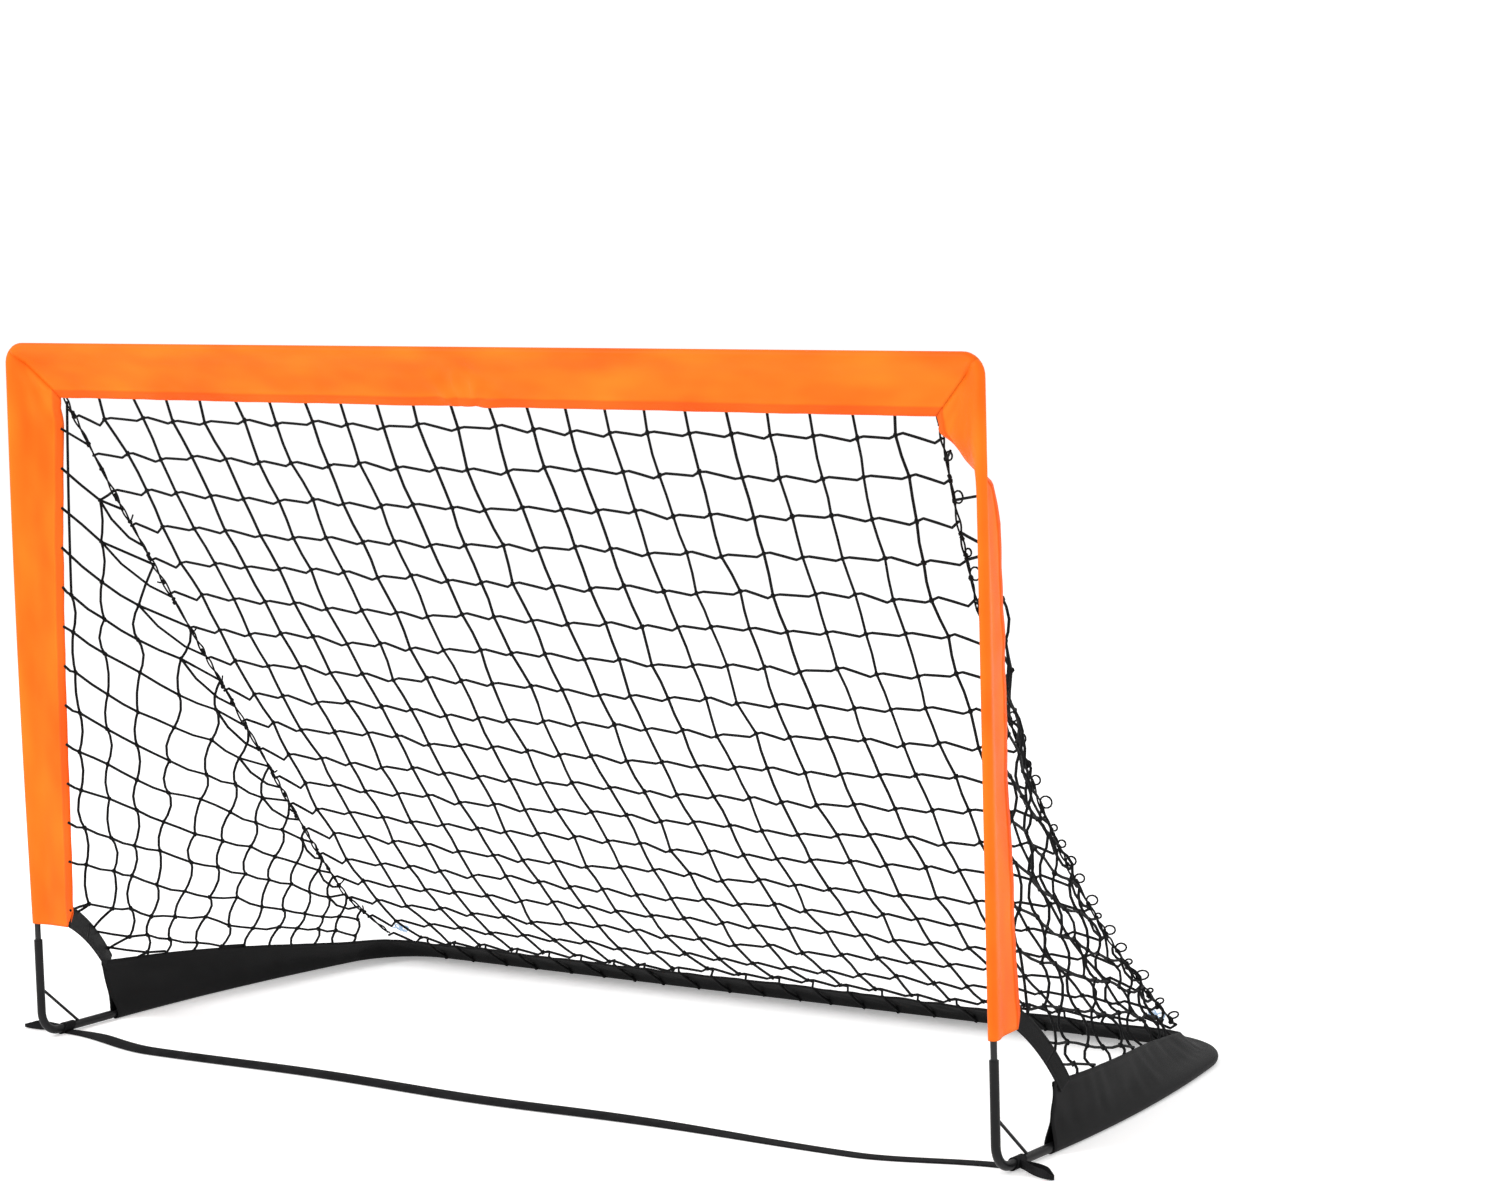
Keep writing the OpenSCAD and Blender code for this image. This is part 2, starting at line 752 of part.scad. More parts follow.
foot_elbow(LEFT);  // foot_elbow_left
foot_elbow(RIGHT);  // foot_elbow_right
brace_rod(LEFT);  // brace_rod_left
brace_rod(RIGHT);  // brace_rod_right
ground_strap();
strap_turn(LEFT);  // strap_turn_left
strap_turn(RIGHT);  // strap_turn_right
peg_loop(LEFT);  // peg_loop_left
peg_loop(RIGHT);  // peg_loop_right
side_pole(LEFT);  // side_pole_left
side_pole(RIGHT);  // side_pole_right
rear_corner(LEFT);  // rear_corner_left
rear_corner(RIGHT);  // rear_corner_right
rear_pole(LEFT);  // rear_pole_left
rear_pole(RIGHT);  // rear_pole_right
rear_ferrule();
base_shock_cord();
base_tunnel(LEFT);  // base_tunnel_left
base_tunnel(RIGHT);  // base_tunnel_right
corner_tunnel(LEFT);  // corner_tunnel_left
corner_tunnel(RIGHT);  // corner_tunnel_right
base_tunnel_rear();
skirt(LEFT);  // skirt_left
skirt(RIGHT);  // skirt_right
skirt_rear();
upright_section(LEFT, upright_foot, upright_joint - end_gap / 2);  // upright_lower_left
upright_section(RIGHT, upright_foot, upright_joint - end_gap / 2);  // upright_lower_right
upright_section(LEFT, upright_joint + end_gap / 2, upright_top);  // upright_upper_left
upright_section(RIGHT, upright_joint + end_gap / 2, upright_top);  // upright_upper_right
upright_ferrule(LEFT);  // upright_ferrule_left
upright_ferrule(RIGHT);  // upright_ferrule_right
top_corner(LEFT);  // top_corner_left
top_corner(RIGHT);  // top_corner_right
crossbar_section(-crossbar_end, -crossbar_joint - end_gap / 2);  // crossbar_left
crossbar_section(-crossbar_joint + end_gap / 2, crossbar_joint - end_gap / 2);  // crossbar_mid
crossbar_section(crossbar_joint + end_gap / 2, crossbar_end);  // crossbar_right
crossbar_ferrule(LEFT);  // crossbar_ferrule_left
crossbar_ferrule(RIGHT);  // crossbar_ferrule_right
arch_shock_cord();
sleeve_side(LEFT);  // sleeve_left
sleeve_side(RIGHT);  // sleeve_right
sleeve_top();
skirt_riser(LEFT);  // skirt_riser_left
skirt_riser(RIGHT);  // skirt_riser_right
net_side_panel(LEFT);  // net_left
net_side_panel(RIGHT);  // net_right
net_rear();
lacing(LEFT);  // lacing_left
lacing(RIGHT);  // lacing_right
corner_tie(LEFT);  // corner_tie_left
corner_tie(RIGHT);  // corner_tie_right
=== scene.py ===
import math
import random

import bmesh
import bpy
from mathutils import Matrix, Vector, noise


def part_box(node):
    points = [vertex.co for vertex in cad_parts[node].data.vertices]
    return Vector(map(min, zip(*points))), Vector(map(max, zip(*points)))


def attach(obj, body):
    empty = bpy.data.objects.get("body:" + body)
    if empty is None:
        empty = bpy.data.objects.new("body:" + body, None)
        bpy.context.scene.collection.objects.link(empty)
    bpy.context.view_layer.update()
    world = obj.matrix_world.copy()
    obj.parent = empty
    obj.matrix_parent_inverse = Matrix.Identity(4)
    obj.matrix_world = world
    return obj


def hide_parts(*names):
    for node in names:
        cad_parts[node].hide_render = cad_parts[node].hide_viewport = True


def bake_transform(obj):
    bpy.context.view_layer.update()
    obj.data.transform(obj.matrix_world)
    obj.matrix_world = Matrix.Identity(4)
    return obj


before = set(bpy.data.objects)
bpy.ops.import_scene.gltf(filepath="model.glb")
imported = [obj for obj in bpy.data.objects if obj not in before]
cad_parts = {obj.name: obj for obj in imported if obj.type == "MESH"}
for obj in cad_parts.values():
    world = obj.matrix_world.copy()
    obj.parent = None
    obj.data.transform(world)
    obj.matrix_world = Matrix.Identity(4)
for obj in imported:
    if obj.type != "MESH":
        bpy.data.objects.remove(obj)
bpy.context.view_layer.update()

# Camera: a long lens to the right of the goal and in front of it, a little above the crossbar,
# and turned slightly on its own axis.
camera_place = Vector((3.1024, -4.1691, 1.1885))
camera_azimuth = math.radians(34.87)
camera_pitch = math.radians(6.43)
camera_roll = math.radians(-1.569)
level_right = Vector((math.cos(camera_azimuth), math.sin(camera_azimuth), 0))
camera_forward = Vector((
    -math.sin(camera_azimuth) * math.cos(camera_pitch),
    math.cos(camera_azimuth) * math.cos(camera_pitch),
    -math.sin(camera_pitch),
))
level_up = level_right.cross(camera_forward)
camera_right = level_right * math.cos(camera_roll) + level_up * math.sin(camera_roll)
camera_up = level_up * math.cos(camera_roll) - level_right * math.sin(camera_roll)
camera_data = bpy.data.cameras.new("camera")
camera_data.lens = 96.26
camera_data.sensor_width = 36
camera = bpy.data.objects.new("camera", camera_data)
camera.matrix_world = (
    Matrix.Translation(camera_place)
    @ Matrix((camera_right, camera_up, -camera_forward)).transposed().to_4x4()
)
bpy.context.collection.objects.link(camera)
bpy.context.scene.camera = camera
bpy.context.scene.view_settings.view_transform = "Standard"

# Studio: a white floor under an even white sky, with one broad soft light from the upper left
# and two weaker ones, from the right and from behind.


def new_material(name, colour, roughness, **settings):
    """A Principled material, its shader and its node tree."""
    material = bpy.data.materials.new(name)
    material.use_nodes = True
    shader = material.node_tree.nodes["Principled BSDF"]
    shader.inputs["Base Color"].default_value = (*colour, 1)
    shader.inputs["Roughness"].default_value = roughness
    for socket, value in settings.items():
        shader.inputs[socket.replace("_", " ")].default_value = value
    return material, shader, material.node_tree


def new_piece(name, bm, material, smooth=True):
    """Makes a bmesh into an object of the scene, with one material."""
    mesh = bpy.data.meshes.new(name)
    bm.to_mesh(mesh)
    bm.free()
    for polygon in mesh.polygons:
        polygon.use_smooth = smooth
    mesh.materials.append(material)
    piece = bpy.data.objects.new(name, mesh)
    bpy.context.collection.objects.link(piece)
    return piece


floor_material = new_material(
    "studio_floor", (0.93, 0.93, 0.93), 0.95, Emission_Color=(1, 1, 1, 1), Emission_Strength=0.3
)[0]
floor_mesh = bmesh.new()
bmesh.ops.create_grid(floor_mesh, x_segments=1, y_segments=1, size=60)
floor = new_piece("floor", floor_mesh, floor_material)

world = bpy.data.worlds.new("studio")
world.use_nodes = True
bpy.context.scene.world = world
sky = world.node_tree.nodes["Background"]
sky.inputs["Color"].default_value = (1, 1, 1, 1)
sky.inputs["Strength"].default_value = 0.78
seen_sky = world.node_tree.nodes.new("ShaderNodeBackground")
seen_sky.inputs["Color"].default_value = (1, 1, 1, 1)
seen_sky.inputs["Strength"].default_value = 1.1
ray = world.node_tree.nodes.new("ShaderNodeLightPath")
both_skies = world.node_tree.nodes.new("ShaderNodeMixShader")
world.node_tree.links.new(ray.outputs["Is Camera Ray"], both_skies.inputs["Fac"])
world.node_tree.links.new(sky.outputs["Background"], both_skies.inputs[1])
world.node_tree.links.new(seen_sky.outputs["Background"], both_skies.inputs[2])
world.node_tree.links.new(
    both_skies.outputs["Shader"], world.node_tree.nodes["World Output"].inputs["Surface"]
)

for light_name, light_place, light_power, light_size in (
    ("key_light", (-2.6, -3.4, 3.6), 125, 2.0),
    ("fill_light", (3.6, -1.6, 2.4), 30, 3.0),
    ("rear_light", (0.5, 3.6, 3.0), 40, 3.0),
):
    lamp = bpy.data.lights.new(light_name, "AREA")
    lamp.energy = light_power
    lamp.size = light_size
    light = bpy.data.objects.new(light_name, lamp)
    light.location = light_place
    aim = Vector((0, 0, 0.45)) - Vector(light_place)
    light.rotation_euler = aim.to_track_quat("-Z", "Y").to_euler()
    bpy.context.collection.objects.link(light)

# Foot elbows and brace rods: steel tube and rod, bent, welded and powder coated in satin black.
# They stay as the frame has them, with a coat that has a fine orange peel and lighter patches.


def new_group(name, inputs, outputs):
    """An empty shader node group with named sockets, and the nodes that hold them inside."""
    group = bpy.data.node_groups.new(name, "ShaderNodeTree")
    for socket, kind in inputs.items():
        group.interface.new_socket(socket, in_out="INPUT", socket_type=f"NodeSocket{kind}")
    for socket, kind in outputs.items():
        group.interface.new_socket(socket, in_out="OUTPUT", socket_type=f"NodeSocket{kind}")
    return group, group.nodes.new("NodeGroupInput"), group.nodes.new("NodeGroupOutput")


def wire(tree, *links):
    """Links pairs of sockets, from the source to the target."""
    for source, target in links:
        tree.links.new(source, target)


# Mottling: a noise drives a tone and a roughness, between two values of each
mottle_group, mottle_in, mottle_out = new_group(
    "mottle",
    {
        "Place": "Vector", "Stretch": "Vector", "Scale": "Float", "Detail": "Float", "Low": "Float",
        "High": "Float", "Dark": "Color", "Light": "Color", "Smooth": "Float", "Rough": "Float",
    },
    {"Color": "Color", "Roughness": "Float", "Mask": "Float"},
)
mottle_map = mottle_group.nodes.new("ShaderNodeMapping")
mottle_noise = mottle_group.nodes.new("ShaderNodeTexNoise")
mottle_share = mottle_group.nodes.new("ShaderNodeMapRange")
mottle_tone = mottle_group.nodes.new("ShaderNodeMix")
mottle_tone.data_type = "RGBA"
mottle_rough = mottle_group.nodes.new("ShaderNodeMapRange")
wire(
    mottle_group,
    (mottle_in.outputs["Place"], mottle_map.inputs["Vector"]),
    (mottle_in.outputs["Stretch"], mottle_map.inputs["Scale"]),
    (mottle_map.outputs["Vector"], mottle_noise.inputs["Vector"]),
    (mottle_in.outputs["Scale"], mottle_noise.inputs["Scale"]),
    (mottle_in.outputs["Detail"], mottle_noise.inputs["Detail"]),
    (mottle_noise.outputs["Fac"], mottle_share.inputs["Value"]),
    (mottle_in.outputs["Low"], mottle_share.inputs["From Min"]),
    (mottle_in.outputs["High"], mottle_share.inputs["From Max"]),
    (mottle_share.outputs["Result"], mottle_tone.inputs["Factor"]),
    (mottle_in.outputs["Dark"], mottle_tone.inputs["A"]),
    (mottle_in.outputs["Light"], mottle_tone.inputs["B"]),
    (mottle_noise.outputs["Fac"], mottle_rough.inputs["Value"]),
    (mottle_in.outputs["Smooth"], mottle_rough.inputs["To Min"]),
    (mottle_in.outputs["Rough"], mottle_rough.inputs["To Max"]),
    (mottle_tone.outputs["Result"], mottle_out.inputs["Color"]),
    (mottle_rough.outputs["Result"], mottle_out.inputs["Roughness"]),
    (mottle_noise.outputs["Fac"], mottle_out.inputs["Mask"]),
)


def place_group(tree, group, source, **values):
    """Puts a node group in a material, with the piece's own coordinates in its Place."""
    node = tree.nodes.new("ShaderNodeGroup")
    node.node_tree = group
    coordinates = tree.nodes.new("ShaderNodeTexCoord")
    tree.links.new(coordinates.outputs[source], node.inputs["Place"])
    for socket, value in values.items():
        node.inputs[socket].default_value = value
    return node


def mottled(
    tree, scale, dark, light, detail=3, stretch=(1, 1, 1), low=0.3, high=0.7, source="Object",
    smooth=0.5, rough=0.5,
):
    """Two tones and a roughness that drift over the surface with a noise."""
    return place_group(
        tree, mottle_group, source, Stretch=stretch, Scale=scale, Detail=detail, Low=low, High=high,
        Dark=(*dark, 1), Light=(*light, 1), Smooth=smooth, Rough=rough,
    )


def coat_with(tree, shader, mottling, roughness=True):
    """Gives a shader the group's colour, and its roughness too if asked."""
    tree.links.new(mottling.outputs["Color"], shader.inputs["Base Color"])
    if roughness:
        tree.links.new(mottling.outputs["Roughness"], shader.inputs["Roughness"])


def relief(tree, shader, height, strength, distance):
    """Raises the surface by a height, as a bump."""
    bump = tree.nodes.new("ShaderNodeBump")
    bump.inputs["Strength"].default_value = strength
    bump.inputs["Distance"].default_value = distance
    tree.links.new(height, bump.inputs["Height"])
    tree.links.new(bump.outputs["Normal"], shader.inputs["Normal"])


coat_material, coat_shader, coat_tree = new_material(
    "powder_coated_steel", (0.008, 0.008, 0.008), 0.4, Specular_IOR_Level=0.2
)
coat_patches = mottled(
    coat_tree, 38, (0.003, 0.003, 0.0035), (0.009, 0.009, 0.0095), smooth=0.3, rough=0.5
)
coat_with(coat_tree, coat_shader, coat_patches)
coat_peel = mottled(coat_tree, 900, (0, 0, 0), (1, 1, 1), detail=2)
relief(coat_tree, coat_shader, coat_peel.outputs["Mask"], 0.25, 0.0004)

# Poles, ferrules, bent corner tubes and shock cords: black fibreglass tube with fine lengthwise
# fibres, bright drawn steel, black painted steel, and white braided elastic. Most of them are
# inside the fabric.
pole_material, pole_shader, pole_tree = new_material(
    "fibreglass_pole", (0.01, 0.01, 0.011), 0.3, Specular_IOR_Level=0.3
)
coat_with(pole_tree, pole_shader, mottled(
    pole_tree, 60, (0.006, 0.006, 0.007), (0.018, 0.018, 0.02), detail=4, stretch=(30, 30, 1),
    smooth=0.22, rough=0.42,
))

ferrule_material, ferrule_shader, ferrule_tree = new_material(
    "drawn_steel", (0.6, 0.6, 0.6), 0.3, Metallic=1.0
)
coat_with(ferrule_tree, ferrule_shader, mottled(
    ferrule_tree, 90, (0.42, 0.42, 0.43), (0.68, 0.68, 0.69), stretch=(1, 30, 30), smooth=0.22, rough=0.45,
))

tube_material, tube_shader, tube_tree = new_material("painted_tube", (0.02, 0.02, 0.02), 0.45)
coat_with(tube_tree, tube_shader, mottled(
    tube_tree, 55, (0.014, 0.014, 0.015), (0.04, 0.04, 0.042), smooth=0.35, rough=0.55,
))

elastic_material, elastic_shader, elastic_tree = new_material("braided_elastic", (0.7, 0.7, 0.72), 0.8)
elastic_braid = elastic_tree.nodes.new("ShaderNodeTexWave")
elastic_braid.bands_direction = "DIAGONAL"
elastic_braid.inputs["Scale"].default_value = 260
elastic_place = elastic_tree.nodes.new("ShaderNodeTexCoord")
elastic_share = elastic_tree.nodes.new("ShaderNodeMapRange")
elastic_share.inputs["From Min"].default_value = 0.3
elastic_share.inputs["From Max"].default_value = 0.7
elastic_tone = elastic_tree.nodes.new("ShaderNodeMix")
elastic_tone.data_type = "RGBA"
elastic_tone.inputs["A"].default_value = (0.5, 0.5, 0.53, 1)
elastic_tone.inputs["B"].default_value = (0.8, 0.8, 0.82, 1)
wire(
    elastic_tree,
    (elastic_place.outputs["Object"], elastic_braid.inputs["Vector"]),
    (elastic_braid.outputs["Fac"], elastic_share.inputs["Value"]),
    (elastic_share.outputs["Result"], elastic_tone.inputs["Factor"]),
    (elastic_tone.outputs["Result"], elastic_shader.inputs["Base Color"]),
)
relief(elastic_tree, elastic_shader, elastic_braid.outputs["Fac"], 0.5, 0.0005)

node_finishes = (
    ("foot_elbow", coat_material), ("brace_rod", coat_material),
    ("side_pole", pole_material), ("rear_pole", pole_material),
    ("upright_lower", pole_material), ("upright_upper", pole_material),
    ("crossbar_ferrule", ferrule_material), ("upright_ferrule", ferrule_material),
    ("rear_ferrule", ferrule_material), ("crossbar", pole_material),
    ("top_corner", tube_material), ("rear_corner", tube_material),
    ("base_shock_cord", elastic_material), ("arch_shock_cord", elastic_material),
)
for node_name, node_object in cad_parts.items():
    for start, finish_material in node_finishes:
        if node_name.startswith(start):
            for material_slot in node_object.material_slots:
                material_slot.material = finish_material
            break

# Arch cover: orange polyester cloth folded over the poles and sewn along its inner edge, in three
# lengths that meet in mitred seams at the top corners. Its outer edge is round, where the pole
# runs in it, and the rest lies flat and is drawn back by the net.
LEFT, RIGHT = -1, 1
side_names = {LEFT: "left", RIGHT: "right"}
upright_low, upright_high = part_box("upright_lower_right")
crossbar_low, crossbar_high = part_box("crossbar_mid")
sleeve_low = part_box("sleeve_right")[0]
axis_x = (upright_low.x + upright_high.x) / 2
mouth_y = (upright_low.y + upright_high.y) / 2
top_z = (crossbar_low.z + crossbar_high.z) / 2
cover_width = 0.078
cover_round = 0.0065
cover_flat = 0.0013
cover_hem = 0.0105
cover_bend = 0.0275
cover_bottom = sleeve_low.z
cover_out_x = axis_x + cover_round
cover_top = top_z + cover_round
cloth_thickness = 0.0005
cover_row = 0.006

orange_material, orange_shader, orange_tree = new_material(
    "orange_polyester", (0.9, 0.19, 0.01), 0.7, Specular_IOR_Level=0.12
)
orange_cloth = {
    "scale": 16, "detail": 2, "stretch": (1, 0.35, 1), "source": "UV", "smooth": 0.42, "rough": 0.62,
}
orange_body = mottled(orange_tree, dark=(0.86, 0.118, 0.003), light=(0.95, 0.204, 0.010), **orange_cloth)
orange_hem = mottled(orange_tree, dark=(0.83, 0.085, 0.003), light=(0.91, 0.132, 0.008), **orange_cloth)

cloth_place = orange_tree.nodes.new("ShaderNodeTexCoord")
cloth_parts = orange_tree.nodes.new("ShaderNodeSeparateXYZ")
hem_mask = orange_tree.nodes.new("ShaderNodeMapRange")
hem_mask.inputs["From Min"].default_value = cover_width - cover_hem - 0.003
hem_mask.inputs["From Max"].default_value = cover_width - cover_hem
hem_tone = orange_tree.nodes.new("ShaderNodeMix")
hem_tone.data_type = "RGBA"
wire(
    orange_tree,
    (cloth_place.outputs["UV"], cloth_parts.inputs["Vector"]),
    (cloth_parts.outputs["X"], hem_mask.inputs["Value"]),
    (hem_mask.outputs["Result"], hem_tone.inputs["Factor"]),
    (orange_body.outputs["Color"], hem_tone.inputs["A"]),
    (orange_hem.outputs["Color"], hem_tone.inputs["B"]),
    (hem_tone.outputs["Result"], orange_shader.inputs["Base Color"]),
    (orange_body.outputs["Roughness"], orange_shader.inputs["Roughness"]),
)

# Weave: two crossed sets of threads raise the cloth between 0 and 1
weave_group, weave_in, weave_out = new_group(
    "weave", {"Place": "Vector", "Threads": "Float"}, {"Height": "Float"}
)
weave_crossing = weave_group.nodes.new("ShaderNodeMath")
weave_crossing.operation = "MULTIPLY"
for number, direction in enumerate(("X", "Y")):
    threads = weave_group.nodes.new("ShaderNodeTexWave")
    threads.bands_direction = direction
    threads.inputs["Distortion"].default_value = 0.4
    weave_group.links.new(weave_in.outputs["Place"], threads.inputs["Vector"])
    weave_group.links.new(weave_in.outputs["Threads"], threads.inputs["Scale"])
    weave_group.links.new(threads.outputs["Fac"], weave_crossing.inputs[number])
weave_group.links.new(weave_crossing.outputs["Value"], weave_out.inputs["Height"])
orange_weave = place_group(orange_tree, weave_group, "UV", Threads=320)
relief(orange_tree, orange_shader, orange_weave.outputs["Height"], 0.25, 0.0003)


def at(x, y, z):
    """A place on the goal: x from its middle, y back from the mouth, z up from the ground."""
    return Vector((x, mouth_y + y, z))


def mix(a, b, share):
    return a + (b - a) * share


def eased(value):
    value = min(max(value, 0), 1)
    return value * value * (3 - 2 * value)


def section_depths(width, round_radius, hem):
    """Distances across a cover at which its section has points, from its outer edge to its hem."""
    nose = [round_radius * (1 - math.cos(math.radians(a))) for a in (22, 45, 68, 90)]
    flat = [mix(round_radius, width - hem, k / 12) for k in range(1, 13)]
    seam = [width - hem + 0.0006, width - hem + 0.002, width - hem / 2, width - 0.0015, width - 0.0003]
    return nose + flat + seam


def half_thickness(across, width, round_radius, flat, hem):
    """Half the cover's thickness at a distance across it: round at the pole, then flat, and a
    little thicker where the hem is turned in."""
    if across < round_radius:
        return math.sqrt(max(round_radius**2 - (round_radius - across) ** 2, 0))
    fall = 1 - eased((across - round_radius) / (4.2 * round_radius))
    turned = 0.0007 * eased((across - (width - hem)) / 0.0008)
    closing = math.sqrt(max(1 - max((across - width + 0.0018) / 0.0018, 0) ** 2, 0))
    return (flat + (round_radius - flat) * fall + turned) * closing


def cover_section(width, round_radius, flat, hem):
    """Closed section as (distance across, offset) pairs: along one face and back on the other."""
    depths = section_depths(width, round_radius, hem)
    one = [(d, half_thickness(d, width, round_radius, flat, hem)) for d in depths]
    other = [(d, -h) for d, h in reversed(one)]
    return [(0, 0)] + one + [(width, 0)] + other + [(0, 0)]


def bent_grid(section, rows, place, length):
    """A grid bent round a section: place(across, offset, v) puts a point of it at v along the piece.
    The UV map holds the distance across and the distance along, in metres."""
    bm = bmesh.new()
    bmesh.ops.create_grid(bm, x_segments=len(section) - 1, y_segments=rows, size=0.5)
    uv = bm.loops.layers.uv.new("UVMap")
    last = len(section) - 1
    for face in bm.faces:
        for loop in face.loops:
            across = section[round((loop.vert.co.x + 0.5) * last)][0]
            loop[uv].uv = (across, (loop.vert.co.y + 0.5) * length)
    for vert in bm.verts:
        across, offset = section[round((vert.co.x + 0.5) * last)]
        vert.co = place(across, offset, vert.co.y + 0.5)
    bmesh.ops.remove_doubles(bm, verts=bm.verts, dist=1e-6)
    return bm


def sewn_cover(name, rows, section, place, material, length):
    """A cover of cloth with a real thickness, folded to a section."""
    bm = bent_grid(section, rows, place, length)
    bmesh.ops.recalc_face_normals(bm, faces=bm.faces)
    piece = new_piece(name, bm, material)
    cloth = piece.modifiers.new("cloth", "SOLIDIFY")
    cloth.thickness = cloth_thickness
    cloth.offset = -1
    return piece


def soft(x, y, seed, size):
    """Smooth noise between -1 and 1, from a place on the cloth in metres."""
    return noise.noise(Vector((x / size, y / size, seed)))


def stepped(steps, value):
    """Value at a place between the (place, value) pairs of a list."""
    for (low, first), (high, second) in zip(steps, steps[1:]):
        if value <= high:
            return mix(first, second, max(value - low, 0) / (high - low))
    return steps[-1][1]


# How far, in degrees, each upright's cover is drawn back by the net, by the distance down from
# its top. The right one is drawn right round behind its pole below the corner.
lean_steps = {
    LEFT: ((0, 19), (0.078, 19), (0.12, 24), (0.28, 12), (0.5, 5), (0.785, -3)),
    RIGHT: (
        (0, 15), (0.078, 15), (0.1, 21), (0.122, 33), (0.145, 45), (0.165, 56), (0.19, 67),
        (0.24, 74), (0.5, 76), (0.62, 79), (0.73, 82), (0.785, 84),
    ),
}
cover_bulge = {LEFT: 0.0045, RIGHT: 0.0}


def cover_lean(side, down):
    """Angle by which the cover is drawn back, at a distance down from the top corner."""
    return math.radians(stepped(lean_steps[side], down))


def cover_offset(across, along, corner, seed):
    """Folds of the cover: soft waves along it, and creases that fan out from a corner's seam."""
    held = eased((across - cover_round) / 0.03)
    waves = 0.0017 * soft(across * 0.7, along, seed, 0.075)
    waves += 0.0010 * soft(across * 0.4, along, seed + 9, 0.03)
    far = math.hypot(corner, across - cover_width)
    fan = math.atan2(corner, max(cover_width + 0.012 - across, 0.001))
    creases = 0.0021 * math.sin(9 * fan + seed) * math.exp(-(((far - 0.035) / 0.035) ** 2))
    ray = math.atan2(across, max(corner, 0) + 0.02)
    rays = 0.0013 * math.sin(13 * ray + seed) * math.exp(-((corner / 0.14) ** 2))
    waves *= mix(0.15, 1, eased(corner / 0.02))
    return held * (waves + (creases + rays) * eased(corner / 0.012))


def cover_path(inset, run, start):
    """Distance in from the outer edge, and height, after a share of the way from a straight
    start up to the mitred seam of a top corner."""
    reach = cover_bend - inset
    straight = (cover_top - max(inset, cover_bend)) - start
    gone = run * (straight + max(reach, 0) * math.pi / 4)
    if gone <= straight or reach <= 0:
        return inset, start + gone
    angle = (gone - straight) / reach
    return cover_bend - reach * math.cos(angle), cover_top - cover_bend + reach * math.sin(angle)


cover_outline = cover_section(cover_width, cover_round, cover_flat, cover_hem)


def upright_cover_place(side):
    def place(across, offset, v):
        lowest = cover_bottom + 2.2 * max(across - cover_width + 0.010, 0)
        height_guess = mix(lowest, cover_top - across, v)
        down = cover_top - height_guess
        lean = cover_lean(side, down)
        out = offset + cover_offset(across, height_guess, down - across, 3 * side)
        bulge = cover_bulge[side] * math.sin(math.pi * min(down / (cover_top - cover_bottom), 1))
        inset = cover_round + (across - cover_round) * math.cos(lean) - out * math.sin(lean) - bulge
        back = (across - cover_round) * math.sin(lean) + out * math.cos(lean)
        inset, height = cover_path(inset, v, lowest)
        return at(side * (cover_out_x - inset), back, height)

    return place


def crossbar_cover_place(across, offset, v):
    side = LEFT if v < 0.5 else RIGHT
    run = 1 - abs(2 * v - 1)  # 0 at either end of the crossbar, and 1 at its middle
    lean = mix(cover_lean(LEFT, 0), cover_lean(RIGHT, 0), v)
    along = mix(cover_out_x, across, run)
    out = offset + cover_offset(across, side * along + 3, along - across, 5 + side)
    inset = cover_round + (across - cover_round) * math.cos(lean) - out * math.sin(lean)
    back = (across - cover_round) * math.sin(lean) + out * math.cos(lean)
    height_in, along_in = cover_path(inset, 1 - run, cover_top - cover_out_x)
    return at(side * (along_in - (cover_top - cover_out_x)), back, cover_top - height_in)


upright_cover_length = cover_top - cover_bottom
for side in (LEFT, RIGHT):
    upright_cover = sewn_cover(
        f"arch_cover_{side_names[side]}", round(upright_cover_length / cover_row), cover_outline,
        upright_cover_place(side), orange_material, upright_cover_length,
    )
    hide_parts(f"sleeve_{side_names[side]}")
    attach(upright_cover, "arch")
crossbar_cover = sewn_cover(
    "arch_cover_top", 2 * round(cover_out_x / cover_row), cover_outline, crossbar_cover_place,
    orange_material, 2 * cover_out_x,
)
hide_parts("sleeve_top")
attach(crossbar_cover, "arch")

# Base cover: black polyester folded over the base poles and sewn, in a left, a right and a rear
# length. Each side stands up from its pole at the front and leans in and narrows towards the rear
# corner, and the rear length slopes up towards the mouth.
rear_low, rear_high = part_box("rear_pole_right")
elbow_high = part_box("foot_elbow_right")[1]
base_z = (rear_low.z + rear_high.z) / 2
goal_depth = (rear_low.y + rear_high.y) / 2 - mouth_y
rear_bend = 0.110
side_bow = math.radians(11)
bow_start = elbow_high.y - mouth_y + 0.008
corner_y = goal_depth - rear_bend
bow_radius = (corner_y + rear_bend * math.sin(side_bow) - bow_start) / math.sin(side_bow)
corner_x = axis_x - bow_radius * (1 - math.cos(side_bow)) - rear_bend * math.cos(side_bow)
skirt_front_width = 0.077
skirt_rear_width = 0.053
skirt_rear_rise = math.radians(27)
skirt_hem = 0.006
tunnel_radius = 0.0074


def base_plan(u):
    """Plan position and heading of the right side's pole: u from 0 to 1 is the long bow, and from
    1 to 2 the rear corner."""
    if u <= 1:
        angle = side_bow * u
        return (
            axis_x - bow_radius * (1 - math.cos(angle)), bow_start + bow_radius * math.sin(angle), angle,
        )
    angle = mix(side_bow, math.pi / 2, u - 1)
    return corner_x + rear_bend * math.cos(angle), corner_y + rear_bend * math.sin(angle), angle


def skirt_share(side, u):
    """Share of the side cover's shaping that is done at u: the right one stays tall for longer."""
    bow, bend = bow_radius * side_bow, rear_bend * (math.pi / 2 - side_bow)
    gone = (bow * min(max(u, 0), 1) + bend * max(u - 1, 0)) / (bow + bend)
    return gone ** (0.9 if side == LEFT else 1.25)


def skirt_rise(side, u):
    return mix(math.pi / 2, skirt_rear_rise, eased(skirt_share(side, u)))


